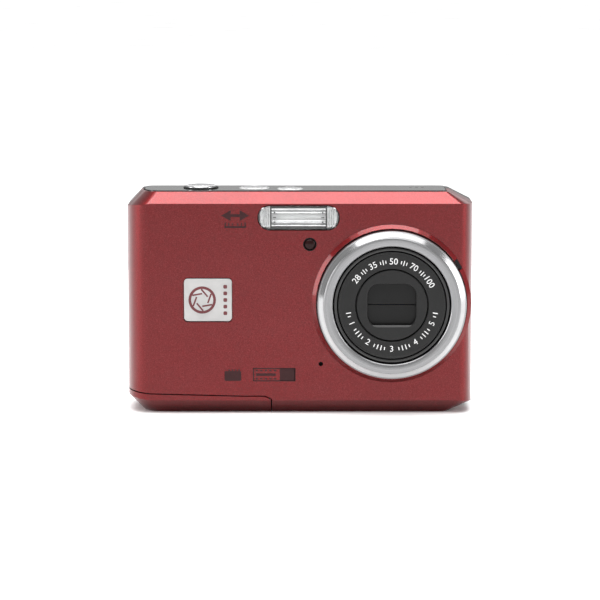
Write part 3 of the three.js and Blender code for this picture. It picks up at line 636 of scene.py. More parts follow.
# ---- Badge and front prints ----
# The badge is a pale moulded plate glued into its recess, with a plain aperture sign. The prints
# beside it are dark red ink on the lacquer: a zoom sign, a card sign and a film strip.
face_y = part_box("flash_window")[0].y
badge = skin_of("name_plate", "front_badge", 0.12 * mm, 3)
badge_pale = moulded("badge_pale", (0.40, 0.395, 0.39, 1), 0.34, 6000, 200, 0.004 * mm)
fit_piece(badge, "root", badge_pale)
badge_low, badge_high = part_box("name_plate")
badge_x, _, badge_z = axis_of("name_plate", "Y")
sign_x = badge_x - 1.5 * mm
aperture = [hoop(sign_x, badge_z, badge_low.y, 3.6 * mm, 2.9 * mm)]
for blade in range(6):
    turn = math.radians(60 * blade + 12)
    aperture.append(on_front(
        sign_x + 1.95 * mm * math.cos(turn), badge_z + 1.95 * mm * math.sin(turn), badge_low.y,
        2.6 * mm, 0.42 * mm, turn=turn + math.radians(58)))
for row in range(5):
    aperture.append(on_front(badge_high.x - 1.7 * mm, badge_z + (row - 2) * 1.75 * mm, badge_low.y,
                             1.0 * mm, 1.0 * mm, corner=0.3 * mm))
badge_red = moulded("badge_red_ink", (0.11, 0.018, 0.022, 1), 0.42, 6000, 200, 0.003 * mm)
fit_piece(joined("front_badge_sign", aperture), "root", badge_red)

dark_ink = moulded("dark_red_ink", (0.03, 0.006, 0.007, 1), 0.5, 6000, 200, 0.003 * mm,
                   specular_ior_level=0.25)
zoom_x = case_low.x + 28.7 * mm
arrow_z = 52.5 * mm
zoom_sign = [on_front(zoom_x, arrow_z - 3.0 * mm, face_y, 5.6 * mm, 0.5 * mm)]
zoom_sign.append(on_front(zoom_x, arrow_z, face_y, 2.3 * mm, 0.75 * mm))
for side, turn in ((-1, math.pi), (1, 0)):
    zoom_sign.append(round_mark(
        zoom_x + side * 2.0 * mm, arrow_z, face_y, 1.65 * mm, sides=3, turn=turn - math.pi / 2))
    for step in range(3):
        zoom_sign.append(on_front(
            zoom_x + side * (0.7 + 0.95 * step) * mm, arrow_z - 2.3 * mm, face_y, 0.32 * mm,
            (0.6 + 0.2 * step) * mm
        ))
card_x = case_low.x + 28.3 * mm
card_sign = [on_front(card_x - 0.35 * mm, 10.1 * mm, face_y, 4.4 * mm, 2.6 * mm, corner=0.35 * mm)]
card_sign += [on_front(
    card_x + (step - 1.5) * 0.85 * mm, 11.65 * mm, face_y, 0.5 * mm, 0.4 * mm
) for step in range(4)]
strip_x = case_low.x + 38.85 * mm
strip_z = 10.45 * mm
strip_sign = []
for side in (-1, 1):
    strip_sign.append(on_front(strip_x, strip_z + side * 1.65 * mm, face_y, 11.1 * mm, 0.3 * mm))
    strip_sign.append(on_front(strip_x + side * 5.45 * mm, strip_z, face_y, 0.3 * mm, 3.4 * mm))
strip_sign.append(on_front(strip_x + 3.45 * mm, strip_z, face_y, 4.0 * mm, 3.2 * mm))
for step in range(5):
    for side in (-1, 1):
        strip_sign.append(on_front(
            strip_x + (step * 1.2 - 4.6) * mm, strip_z + side * 1.1 * mm, face_y, 0.6 * mm,
            0.42 * mm
        ))
strip_sign.append(on_front(strip_x - 2.2 * mm, strip_z, face_y, 5.2 * mm, 0.7 * mm))
fit_piece(
    joined("front_prints", zoom_sign + card_sign + strip_sign), "root", dark_ink
)

# ---- Flash, lamp and microphone ----
# The flash is a clear moulded window over a bright reflector trough and a xenon tube. Its ends
# are ribbed to scatter light. Beside it stand the self-timer lamp and the microphone hole.
flash_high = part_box("flash_window")[1]
flash_x, _, flash_z = axis_of("flash_window", "Y")
clear_plastic, tree, shader = new_finish(
    "clear_plastic", base_color=(0.97, 0.98, 0.98, 1), metallic=0.0, transmission_weight=1.0,
    ior=1.45)
clear_grain = with_grain(tree, 3000, 150)
tree.links.new(
    ramp(tree, clear_grain.outputs["Cloud"], (0.3, 0.02), (0.7, 0.06)), shader.inputs["Roughness"]
)
fit_piece(
    skin_of("flash_window", "flash_window_clear", 0.1 * mm, 3), "root", clear_plastic
)

frost = moulded("frosted_rib", grey(0.78), 0.3, 4000, 250, 0.01 * mm)
window_half = 7.25 * mm
rib_face = flash_high.y + 0.12 * mm
end_ribs = []
for side in (-1, 1):
    for step in range(6):
        rib_x = window_half + (0.42 + 0.56 * step) * mm
        reach = flash_high.x - flash_x - rib_x
        if reach < 0.3 * mm:
            continue
        radius = flash_high.z - flash_z
        inset = max(rib_x - (flash_high.x - flash_x - radius), 0)
        half = math.sqrt(max(radius ** 2 - inset ** 2, 0)) - 0.25 * mm
        if half < 0.4 * mm:
            continue
        rib = on_front(
            flash_x + side * rib_x, flash_z, rib_face + 0.35 * mm, 0.44 * mm, 2 * half, 0.35 * mm
        )
        end_ribs.append(rib)
flash_ribs = joined("flash_end_ribs", end_ribs)
rounded_edges(flash_ribs, 0.16 * mm, 3)
fit_piece(flash_ribs, "root", frost)
mask_y = rib_face + 0.4 * mm
mask_black = moulded("mask_black", grey(0.004), 0.6, 6000, 200, 0.005 * mm, specular_ior_level=0.15)
flash_mask = [on_front(flash_x + side * window_half, flash_z, mask_y, 0.34 * mm, 5.2 * mm, 0.3 * mm)
              for side in (-1, 1)]
flash_mask += [on_front(flash_x, flash_z + side * 2.5 * mm, mask_y, 2 * window_half, 0.3 * mm,
                        0.3 * mm)
               for side in (-1, 1)]
for side in (-1, 1):  # the small hooks that hold the tube
    for row in (-1, 1):
        flash_mask.append(round_mark(flash_x + side * (window_half - 0.95 * mm),
                                     flash_z + row * 1.25 * mm,
                                     mask_y, 0.34 * mm, 0.3 * mm, sides=3,
                                     turn=(1 - row) * math.pi / 2))
    flash_mask.append(on_front(flash_x + side * (window_half - 0.95 * mm), flash_z, mask_y,
                               0.9 * mm, 0.2 * mm, 0.3 * mm))
flash_mask = joined("flash_mask", flash_mask)
rounded_edges(flash_mask, 0.03 * mm, 2)
fit_piece(flash_mask, "root", mask_black)

mirror_bright, tree, shader = new_finish("mirror_bright", metallic=1.0)
tarnish = with_grain(tree, 3000, 400)
tree.links.new(
    ramp(tree, tarnish.outputs["Cloud"], (0.3, 0.72), (0.7, 0.9)), shader.inputs["Base Color"]
)
tree.links.new(
    ramp(tree, tarnish.outputs["Grain"], (0.3, 0.1), (0.7, 0.2)), shader.inputs["Roughness"]
)
fit_piece(skin_of("flash_reflector", "flash_trough", 0.08 * mm, 2), "root", mirror_bright)
tube_low, tube_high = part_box("flash_tube")
tube_mid = axis_of("flash_tube")
tube_half = (tube_high.x - tube_low.x) / 2
tube_r = (tube_high.z - tube_low.z) / 2
flash_tube = turned("xenon_tube", [
    (0, -tube_half + 1.0 * mm), (
        0.45 * tube_r, -tube_half + 1.02 * mm
    ), (0.8 * tube_r, -tube_half + 1.2 * mm),
    (tube_r, -tube_half + 1.6 * mm), (tube_r, tube_half - 1.6 * mm), (
        0.8 * tube_r, tube_half - 1.2 * mm
    ),
    (0.45 * tube_r, tube_half - 1.02 * mm), (0, tube_half - 1.0 * mm)],
    axis="X", centre=tube_mid, steps=32, closed=False)
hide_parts("flash_tube")
# The tube's faint emission is a painted glow; the flash is not fired.
tube_white_painted_glow = moulded("tube_white_painted_glow", grey(0.8), 0.16, 3000, 300, 0.002 * mm,
                     emission_color=(1, 1, 1, 1),
                     emission_strength=0.12)
fit_piece(flash_tube, "root", tube_white_painted_glow)
caps = []
for side in (-1, 1):
    caps.append(turned("cap", [
        (0, side * tube_half), (0.55 * tube_r, side * tube_half), (
            0.62 * tube_r, side * (tube_half - 0.1 * mm)
        ),
        (
            0.62 * tube_r, side * (tube_half - 0.7 * mm)
        ), (0.9 * tube_r, side * (tube_half - 0.75 * mm)),
        (0.9 * tube_r, side * (tube_half - 0.95 * mm)), (0, side * (tube_half - 0.95 * mm))],
        axis="X", centre=tube_mid, steps=24, closed=False))
cap_steel = moulded("cap_steel", grey(0.32), 0.35, 5000, 300, 0.003 * mm, metallic=1.0)
fit_piece(joined("xenon_tube_caps", caps), "root", cap_steel)

lamp_low, lamp_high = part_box("lamp_lens")
lamp_at = axis_of("lamp_lens", "Y")
lamp_r = 1.5 * mm
lamp_back = lamp_high.y
lamp_lens = turned("timer_lamp", [
    (0, lamp_low.y), (0.35 * mm, lamp_low.y + 0.01 * mm), (0.7 * mm, lamp_low.y + 0.06 * mm),
    (
        1.05 * mm, lamp_low.y + 0.17 * mm
    ), (1.3 * mm, lamp_low.y + 0.32 * mm), (lamp_r, lamp_low.y + 0.55 * mm),
    (lamp_r, lamp_back - 1.35 * mm), (lamp_r + 0.65 * mm, lamp_back - 1.25 * mm),
    (lamp_r + 0.7 * mm, lamp_back - 1.15 * mm), (lamp_r + 0.7 * mm, lamp_back), (0, lamp_back)],
    centre=lamp_at, steps=48, closed=False)
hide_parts("lamp_lens")
lamp_red = moulded(
    "lamp_smoked_red", (0.016, 0.004, 0.004, 1), 0.1, 3000, 300, 0.002 * mm, specular_ior_level=0.16
)
fit_piece(lamp_lens, "root", lamp_red)
lamp_collar = turned("timer_lamp_collar", [
    (lamp_r + 0.03 * mm, face_y + 0.5 * mm), (lamp_r + 0.27 * mm, face_y + 0.5 * mm),
    (lamp_r + 0.27 * mm, face_y + 0.02 * mm), (lamp_r + 0.2 * mm, face_y - 0.03 * mm),
    (lamp_r + 0.09 * mm, face_y - 0.03 * mm), (lamp_r + 0.03 * mm, face_y + 0.03 * mm)],
    centre=lamp_at, steps=48)
fit_piece(lamp_collar, "root", mask_black)

microphone_low, microphone_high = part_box("microphone")
capsule_r = (microphone_high.x - microphone_low.x) / 2
capsule = turned("microphone_capsule", [
    (0, microphone_high.y), (capsule_r, microphone_high.y), (
        capsule_r, microphone_low.y + 0.15 * mm
    ),
    (
        capsule_r - 0.15 * mm, microphone_low.y
    ), (0.75 * mm, microphone_low.y), (0.7 * mm, microphone_low.y + 0.2 * mm),
    (0, microphone_low.y + 0.2 * mm)], centre=axis_of("microphone", "Y"), steps=40, closed=False)
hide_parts("microphone")
fit_piece(
    capsule, "root", moulded("capsule_black", grey(0.01), 0.7, 5000, 300, 0.02 * mm)
)

# ---- Top plate and its buttons ----
# A gloss black moulded plate fills the top of the case. The shutter button is a pale satin dome in
# a black collar; the power and mode keys are low satin discs in chrome collars, each with its sign.
gloss_black = moulded("gloss_black", grey(0.012), 0.14, 3000, 100, 0.0015 * mm, 0.03,
                      coat_weight=0.4,
                      coat_roughness=0.05)
top_plate = skin_of("top_plate", "top_plate_gloss", 0.09 * mm, 2)
fit_piece(top_plate, "root", gloss_black)
plate_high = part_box("top_plate")[1]
satin_silver = turned_metal("satin_silver", (0.52, 0.52, 0.53), 0.26, 3000, (lens_x, lens_z))
chrome_bright, tree, shader = new_finish("chrome_bright", metallic=1.0)
polish = with_grain(tree, 5000, 200)
tree.links.new(
    ramp(tree, polish.outputs["Cloud"], (0.3, 0.74), (0.7, 0.84)), shader.inputs["Base Color"]
)
tree.links.new(
    ramp(tree, polish.outputs["Grain"], (0.3, 0.06), (0.7, 0.13)), shader.inputs["Roughness"]
)


def top_key(node, name, dish, material):
    """A round key that rises through the top plate: a flange below, a rounded rim and a crown."""
    low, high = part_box(node)
    centre = axis_of(node, "Z")
    flange = (high.x - low.x) / 2
    r = flange - 0.8 * mm
    top = high.z
    key = turned(name, [
        (0, low.z), (
            flange - 0.1 * mm, low.z
        ), (flange, low.z + 0.1 * mm), (flange, low.z + 0.5 * mm),
        (flange - 0.1 * mm, low.z + 0.6 * mm), (r, low.z + 0.6 * mm), (r, top - 0.42 * mm),
        (r - 0.06 * mm, top - 0.3 * mm), (r - 0.2 * mm, top - 0.16 * mm), (
            r - 0.45 * mm, top - 0.06 * mm
        ),
        (r * 0.72, top - 0.02 * mm), (r * 0.5, top - dish), (r * 0.2, top - 1.4 * dish),
        (0, top - 1.5 * dish)],
        axis="Z", centre=centre, steps=72, closed=False)
    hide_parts(node)
    fit_piece(key, node, material)
    return Vector(centre), r


shutter_at, shutter_r = top_key("shutter_button", "shutter_key", 0.01 * mm, satin_silver)
power_at, power_r = top_key("power_button", "power_key", 0.05 * mm, satin_silver)
mode_at, mode_r = top_key("mode_button", "mode_key", 0.05 * mm, satin_silver)
for name, at, r, proud in (("shutter_collar", shutter_at, shutter_r, 0.28),
                           ("power_collar", power_at, power_r, 0.1),
                           ("mode_collar", mode_at, mode_r, 0.1)):
    top = plate_high.z + proud * mm
    collar = turned(name, [
        (r + 0.08 * mm, plate_high.z - 0.5 * mm), (r + 0.28 * mm, plate_high.z - 0.5 * mm),
        (r + 0.28 * mm, plate_high.z + 0.02 * mm), (r + 0.6 * mm, plate_high.z + 0.02 * mm),
        (r + 0.52 * mm, top - 0.05 * mm), (r + 0.4 * mm, top), (r + 0.2 * mm, top),
        (r + 0.08 * mm, top - 0.06 * mm)],
        axis="Z", centre=at, steps=72)
    fit_piece(collar, "root",
              mask_black if name == "shutter_collar" else chrome_bright)


def lay_on_top(piece, x, y, z, turn=0.0):
    """Lays a mark drawn about the origin in XZ flat on a top face."""
    piece.rotation_euler = (-math.pi / 2, 0, turn)
    piece.location = (x, y, z)
    settle(piece)
    return piece


top_signs = []
sign_y = power_at.y + power_r + 1.7 * mm
power_mark = joined("power_mark", [hoop(0, 0, 0, 0.85 * mm, 0.68 * mm, steps=28),
                                   on_front(0, 0.55 * mm, 0, 0.17 * mm, 0.9 * mm)])
top_signs.append(lay_on_top(power_mark, power_at.x, sign_y, plate_high.z + 0.01 * mm))
mode_mark = joined(
    "mode_mark",
    [on_front(
        step * 0.85 * mm, 0, 0, 0.55 * mm, 0.95 * mm, corner=0.12 * mm
    ) for step in (-1, 0, 1)]
)
top_signs.append(lay_on_top(
    mode_mark, mode_at.x, mode_at.y + mode_r + 1.6 * mm, plate_high.z + 0.01 * mm
))
fit_piece(joined("top_prints", top_signs), "root", pale_ink)

# ---- Rear cover, display and keys ----
# The back is one black moulded shell with a fine spark-eroded texture. The display sits behind a
# gloss black pane, and the keys are turned or moulded caps that rise through their holes.
shell_black = moulded("shell_black", grey(0.022), 0.5, 3800, 90, 0.022 * mm, 0.06)
rear_cover = skin_of("rear_cover", "rear_shell", 0.12 * mm, trim=plate_step)
fit_piece(rear_cover, "root", shell_black)

pane_black = moulded("pane_black", grey(0.006), 0.07, 2000, 60, 0.0008 * mm, 0.02, coat_weight=0.6,
                     coat_roughness=0.03)
pane = skin_of("lcd_window", "display_pane", 0.18 * mm, 3)
fit_piece(pane, "root", pane_black)
pane_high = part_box("lcd_window")[1]
pane_x, _, pane_z = axis_of("lcd_window", "Y")


def on_back(piece):
    """Turns a mark drawn in front of y = 0 to stand on the back face, read from behind."""
    piece.rotation_euler = (0, 0, math.pi)
    settle(piece)
    return piece


def to_back(x, z, y, shapes):
    """Draws marks about the origin, then sets them on the back face at x and z."""
    made = []
    for shape in shapes:
        on_back(shape)
        shape.location = (x, y, z)
        settle(shape)
        made.append(shape)
    return made


screen_blue = moulded("screen_glass", (0.022, 0.026, 0.034, 1), 0.1, 1500, 40, 0.0006 * mm, 0.02,
                      coat_weight=0.8,
                      coat_roughness=0.04)
screen = to_back(
    pane_x, pane_z, pane_high.y,
    [on_front(0, 0, 0, 54.8 * mm, 41.2 * mm, 0.02 * mm, corner=0.5 * mm)]
)[0]
screen.name = "display_field"
fit_piece(screen, "root", screen_blue)

icon_ink = moulded("icon_ink", grey(0.45), 0.5, 8000, 300, 0.003 * mm)
key_black = moulded("key_black", grey(0.03), 0.36, 6000, 150, 0.006 * mm, 0.05)


def rear_key(node, name, dish):
    """A round rear key: a flange inside, a soft rim and a shallow dished face."""
    low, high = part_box(node)
    centre = axis_of(node, "Y")
    flange = (high.x - low.x) / 2
    r = 2.4 * mm
    top = high.y
    key = turned(name, [
        (0, low.y), (
            flange - 0.08 * mm, low.y
        ), (flange, low.y + 0.08 * mm), (flange, low.y + 0.45 * mm),
        (flange - 0.1 * mm, low.y + 0.55 * mm), (r, low.y + 0.6 * mm), (r, top - 0.3 * mm),
        (
            r - 0.1 * mm, top - 0.12 * mm
        ), (r - 0.3 * mm, top - 0.01 * mm), (r * 0.7, top - dish * 0.6),
        (r * 0.35, top - dish), (0, top - dish)], centre=centre, steps=56, closed=False)
    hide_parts(node)
    fit_piece(key, node, key_black)
    return centre, top - dish


play_at, play_top = rear_key("play_button", "play_key", 0.06 * mm)
play_mark = to_back(
    play_at[0], play_at[2], play_top + 0.01 * mm,
    [round_mark(0, 0, 0, 0.9 * mm, sides=3, turn=-math.pi / 2)]
)[0]
play_mark.name = "play_key_sign"
fit_piece(play_mark, "play_button", icon_ink)
menu_at, menu_top = rear_key("menu_button", "menu_key", 0.06 * mm)
menu_mark = joined("menu_key_sign", to_back(menu_at[0], menu_at[2], menu_top + 0.01 * mm, [
    on_front(0, step * 0.6 * mm, 0, 1.7 * mm, 0.24 * mm) for step in (-1, 0, 1)]))
fit_piece(menu_mark, "menu_button", icon_ink)
delete_at, delete_top = rear_key("delete_button", "delete_key", 0.06 * mm)
delete_mark = joined("delete_key_sign", to_back(delete_at[0], delete_at[2], delete_top + 0.01 * mm,
                                                [
    on_front(
        0, -0.15 * mm, 0, 1.15 * mm, 1.3 * mm, corner=0.15 * mm
    ), on_front(0, 0.68 * mm, 0, 1.6 * mm, 0.2 * mm),
    on_front(0, 0.86 * mm, 0, 0.5 * mm, 0.2 * mm)]))
fit_piece(delete_mark, "delete_button", icon_ink)

ring_lo, ring_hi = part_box("nav_ring")
nav_at = axis_of("nav_ring", "Y")
nav_r = (ring_hi.x - ring_lo.x) / 2
nav_ring = turned("nav_ring_cap", [
    (4.6 * mm, ring_lo.y), (nav_r, ring_lo.y), (nav_r, ring_hi.y - 0.4 * mm), (
        nav_r - 0.08 * mm, ring_hi.y - 0.2 * mm
    ),
    (
        nav_r - 0.26 * mm, ring_hi.y - 0.06 * mm
    ), (nav_r - 0.5 * mm, ring_hi.y), (nav_r - 0.72 * mm, ring_hi.y - 0.03 * mm),
    (
        nav_r - 0.95 * mm, ring_hi.y - 0.12 * mm
    ), (5.15 * mm, ring_hi.y - 0.12 * mm), (4.85 * mm, ring_hi.y - 0.22 * mm),
    (4.66 * mm, ring_hi.y - 0.42 * mm), (4.6 * mm, ring_hi.y - 0.6 * mm)], centre=nav_at, steps=96)
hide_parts("nav_ring")
fit_piece(nav_ring, "nav_ring", key_black)
set_lo, set_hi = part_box("set_button")
set_r = (set_hi.x - set_lo.x) / 2
set_key = turned("set_key", [
    (0, set_lo.y), (set_r, set_lo.y), (set_r, set_hi.y - 0.3 * mm), (
        set_r - 0.07 * mm, set_hi.y - 0.14 * mm
    ),
    (
        set_r - 0.22 * mm, set_hi.y - 0.03 * mm
    ), (set_r - 0.42 * mm, set_hi.y), (set_r * 0.7, set_hi.y - 0.04 * mm),
    (set_r * 0.35, set_hi.y - 0.08 * mm), (0, set_hi.y - 0.09 * mm)], centre=nav_at, steps=72,
    closed=False)
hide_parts("set_button")
fit_piece(set_key, "set_button", key_black)
set_mark = to_back(nav_at[0], nav_at[2], set_hi.y - 0.06 * mm, [
    hoop(0, 0, 0, 1.1 * mm, 0.85 * mm, steps=32),
    on_front(0, 0, 0, 0.5 * mm, 0.5 * mm, corner=0.2 * mm)])
fit_piece(joined("set_key_sign", set_mark), "set_button", icon_ink)

nav_sign_reach = 6.5 * mm
nav_sign_y = ring_hi.y - 0.11 * mm
nav_signs = to_back(nav_at[0], nav_at[2] + nav_sign_reach, nav_sign_y, [
    round_mark(-0.22 * mm, 0.3 * mm, 0, 0.6 * mm, sides=3, turn=0.3),
    round_mark(0.22 * mm, -0.3 * mm, 0, 0.6 * mm, sides=3, turn=math.pi + 0.3)])
nav_signs += to_back(nav_at[0] + nav_sign_reach, nav_at[2], nav_sign_y, [
    hoop(0, 0, 0, 0.85 * mm, 0.66 * mm, steps=28), on_front(0, 0.28 * mm, 0, 0.17 * mm, 0.6 * mm),
    on_front(0.22 * mm, 0, 0, 0.5 * mm, 0.17 * mm)])
nav_signs += to_back(nav_at[0] - nav_sign_reach, nav_at[2], nav_sign_y, [
    round_mark(
        0.5 * mm * math.cos(k * math.tau / 5 + 0.3), 0.5 * mm * math.sin(k * math.tau / 5 + 0.3), 0,
        0.26 * mm, sides=14
    )
    for k in range(5)])
nav_signs += to_back(nav_at[0], nav_at[2] - nav_sign_reach, nav_sign_y, [
    on_front(
        -0.5 * mm, 0.2 * mm, 0, 0.8 * mm, 0.18 * mm
    ), on_front(-0.5 * mm, 0.2 * mm, 0, 0.18 * mm, 0.8 * mm),
    on_front(0.5 * mm, -0.3 * mm, 0, 0.8 * mm, 0.18 * mm)])
fit_piece(joined("nav_ring_signs", nav_signs), "nav_ring", icon_ink)

rocker = skin_of("zoom_rocker", "zoom_rocker_cap", 0.3 * mm, 4)
fit_piece(rocker, "zoom_rocker", key_black)
rocker_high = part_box("zoom_rocker")[1]
rocker_x, _, rocker_z = axis_of("zoom_rocker", "Y")
rocker_sign_reach = 4.8 * mm
rocker_sign_y = rocker_high.y - 0.03 * mm
rocker_signs = to_back(rocker_x + rocker_sign_reach, rocker_z, rocker_sign_y, [
    on_front((i - 1) * 0.62 * mm, (k - 1) * 0.62 * mm, 0, 0.4 * mm,
             0.4 * mm) for i in range(3) for k in range(3)])
rocker_signs += to_back(rocker_x - rocker_sign_reach, rocker_z, rocker_sign_y, [
    hoop(-0.1 * mm, 0.15 * mm, 0, 0.72 * mm, 0.52 * mm, steps=28),
    on_front(0.62 * mm, -0.56 * mm, 0, 0.7 * mm, 0.24 * mm, turn=-math.pi / 4)])
rocker_signs += to_back(rocker_x, rocker_z, rocker_sign_y, [
    on_front(step * 0.7 * mm, 0, 0, 0.2 * mm, 2.6 * mm) for step in (-1, 0, 1)])
fit_piece(joined("zoom_rocker_signs", rocker_signs), "zoom_rocker", icon_ink)

# Raised dots for the thumb are moulded into the shell between the upper keys, and a green status
# lamp shows through it beside the rocker.
back_face = pane_high.y + 0.1 * mm


def back_dome(name, x, z, radius, rise, steps=20):
    return turned(name, [(0, back_face + rise), (radius * 0.5, back_face + rise * 0.86),
                         (radius * 0.87, back_face + rise * 0.4), (radius, back_face - 0.02 * mm),
                         (0, back_face - 0.02 * mm)],
                  centre=(x, 0, z), steps=steps, closed=False)


dot_pitch = 2.1 * mm
dots_z = 39.1 * mm
dots = [back_dome("dot", nav_at[0] + (col - 1.5) * dot_pitch, dots_z + (row - 1) * dot_pitch,
                  0.5 * mm, 0.26 * mm)
        for col in range(4) for row in range(3)]
fit_piece(joined("thumb_dots", dots), "root", shell_black)
status = back_dome("status_lamp", nav_at[0] + 10.4 * mm, rocker_z, 0.6 * mm, 0.16 * mm, 32)
status_green = moulded(
    "status_green", (0.03, 0.16, 0.05, 1), 0.18, 3000, 300, 0.002 * mm, coat_weight=0.6
)
fit_piece(status, "root", status_green)

# ---- Sides and base ----
# A nickel-plated lug takes the wrist strap on the grip side. A soft cover on the other side swings
# from its moulded pin over the card and the socket. The base has two screws and a tripod bush.
lug_metal = turned_metal("lug_nickel", (0.3, 0.3, 0.31), 0.3, 3000, (lens_x, lens_z))
fit_piece(skin_of("strap_lug", "strap_lug_bar", 0.28 * mm, 4), "root", lug_metal)
cover_rubber = moulded("cover_rubber", grey(0.026), 0.62, 3800, 90, 0.02 * mm, 0.05)
fit_piece(
    skin_of("side_cover", "side_cover_flap", 0.14 * mm, 3), "side_cover", cover_rubber
)
flap_low, flap_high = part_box("side_cover")
grip_lines = []
for step in range(4):
    middle = (flap_high.x - 0.06 * mm, flap_low.y + 2.0 * mm, flap_low.z + (2.0 + 0.8 * step) * mm)
    grip_lines.append(block((0.1 * mm, 2.2 * mm, 0.35 * mm), middle))
grip_lines = joined("side_cover_grip_lines", grip_lines)
rounded_edges(grip_lines, 0.03 * mm, 2)
fit_piece(grip_lines, "side_cover", cover_rubber)

spring_steel = moulded("spring_steel", grey(0.42), 0.3, 2500, 200, 0.003 * mm, 0.06, metallic=1.0)
screw_steel = moulded("screw_steel", grey(0.2), 0.34, 4000, 300, 0.004 * mm, 0.05, metallic=1.0)
for number in (1, 2):
    node = f"case_screw_{number}"
    low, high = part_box(node)
    centre = axis_of(node, "Z")
    thread = [(0.78 * mm if i % 2 else 0.6 * mm, low.z + (0.75 + 0.22 * i) * mm) for i in range(17)]
    screw = turned(f"base_screw_{number}", [
        (0, low.z), (1.0 * mm, low.z), (1.22 * mm, low.z + 0.08 * mm), (1.3 * mm, low.z + 0.2 * mm),
        (1.3 * mm, low.z + 0.3 * mm), (0.7 * mm, low.z + 0.32 * mm),
        (0.6 * mm, low.z + 0.6 * mm)] + thread
        + [(0.4 * mm, high.z - 0.08 * mm), (0, high.z)], axis="Z", centre=centre, steps=32,
        closed=False)
    for turn in (0, math.pi / 2):
        cut_away(screw, block((1.5 * mm, 0.3 * mm, 0.44 * mm), (centre[0], centre[1], low.z),
                              (0, 0, turn + 0.4)))
    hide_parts(node)
    fit_piece(screw, "root", screw_steel)

socket_low, socket_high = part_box("tripod_socket")
socket_at = axis_of("tripod_socket", "Z")
socket_r = (socket_high.x - socket_low.x) / 2
pitch = 1.27 * mm
crest, valley = 2.65 * mm, 3.15 * mm
bore_profile = [(crest + 0.5 * mm, socket_low.z), (crest + 0.08 * mm, socket_low.z + 0.4 * mm)]
for turn_number in range(4):
    z = socket_low.z + 0.55 * mm + pitch * turn_number
    bore_profile += [
        (crest, z), (crest, z + 0.16 * mm), (valley, z + 0.6 * mm), (valley, z + 0.72 * mm),
        (crest, z + 1.12 * mm)
    ]
bore_profile += [(crest, socket_low.z + 5.9 * mm), (0, socket_low.z + 6.0 * mm)]
tripod_bush = turned("tripod_bush", [
    (0, socket_high.z), (socket_r - 0.3 * mm, socket_high.z), (socket_r, socket_high.z - 0.3 * mm),
    (socket_r, socket_low.z + 0.15 * mm), (socket_r - 0.15 * mm, socket_low.z)] + bore_profile,
    axis="Z", centre=socket_at, steps=72, closed=False)
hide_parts("tripod_socket")
bush_metal = moulded("bush_nickel", grey(0.5), 0.28, 2500, 200, 0.003 * mm, 0.06, metallic=1.0)
fit_piece(tripod_bush, "root", bush_metal)


def lay_on_base(piece, x, y, z):
    """Lays a mark drawn in front of y = 0 flat on the base, read from below."""
    piece.rotation_euler = (math.pi / 2, 0, 0)
    piece.location = (x, y, z)
    settle(piece)
    return piece


door_low, door_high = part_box("battery_door")
door_middle = (door_low.x + door_high.x) / 2
door_sign = joined("door_arrow", [
    round_mark(
        0, 1.1 * mm, 0, 1.0 * mm, sides=3, turn=math.pi
    ), on_front(0, -0.3 * mm, 0, 0.6 * mm, 2.0 * mm),
    on_front(0, -1.9 * mm, 0, 3.4 * mm, 0.3 * mm)])
lay_on_base(door_sign, door_middle, -1.6 * mm, door_low.z + 0.03 * mm)
door_sign.name = "battery_door_sign"
fit_piece(door_sign, "battery_door", dark_ink)

# ---- Power: cells, contacts and door hinge ----
# Two cells stand in a moulded box. Each has a steel can in a printed sleeve, pressed contacts close
# the circuit at the top and in the door, and the door turns on a steel pin in a sliding bracket.
box_black = moulded("box_black", grey(0.03), 0.6, 3500, 90, 0.015 * mm, 0.05)
fit_piece(
    skin_of("battery_box", "battery_box_shell", 0.08 * mm, 2), "root", box_black
)
sleeve, tree, shader = new_finish("cell_sleeve", coat_weight=0.5, coat_roughness=0.12)
sleeve_grain = with_grain(tree, 3000, 120)
spot = put(tree, "ShaderNodeTexCoord")
split = put(tree, "ShaderNodeSeparateXYZ", vector=spot.outputs["Object"])
cell_low, cell_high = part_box("aa_cell_1")
upward = put(
    tree, "ShaderNodeMapRange", value=split.outputs["Z"], from_min=cell_low.z, from_max=cell_high.z
)
copper, dark_wrap = (0.55, 0.2, 0.07, 1), (0.02, 0.02, 0.024, 1)
tree.links.new(ramp(tree, upward.outputs["Result"], (0.0, grey(0.42)), (0.018, dark_wrap),
                    (0.24, dark_wrap), (0.25, grey(0.55)),
                    (
                        0.265, dark_wrap
                    ), (0.715, dark_wrap), (0.73, grey(0.55)), (0.742, copper), (0.952, copper),
                    (0.962, grey(0.42))), shader.inputs["Base Color"])
tree.links.new(
    ramp(tree, sleeve_grain.outputs["Cloud"], (0.3, 0.26), (0.7, 0.36)), shader.inputs["Roughness"]
)
can_steel = moulded("can_steel", grey(0.5), 0.24, 2500, 200, 0.002 * mm, 0.05, metallic=1.0)
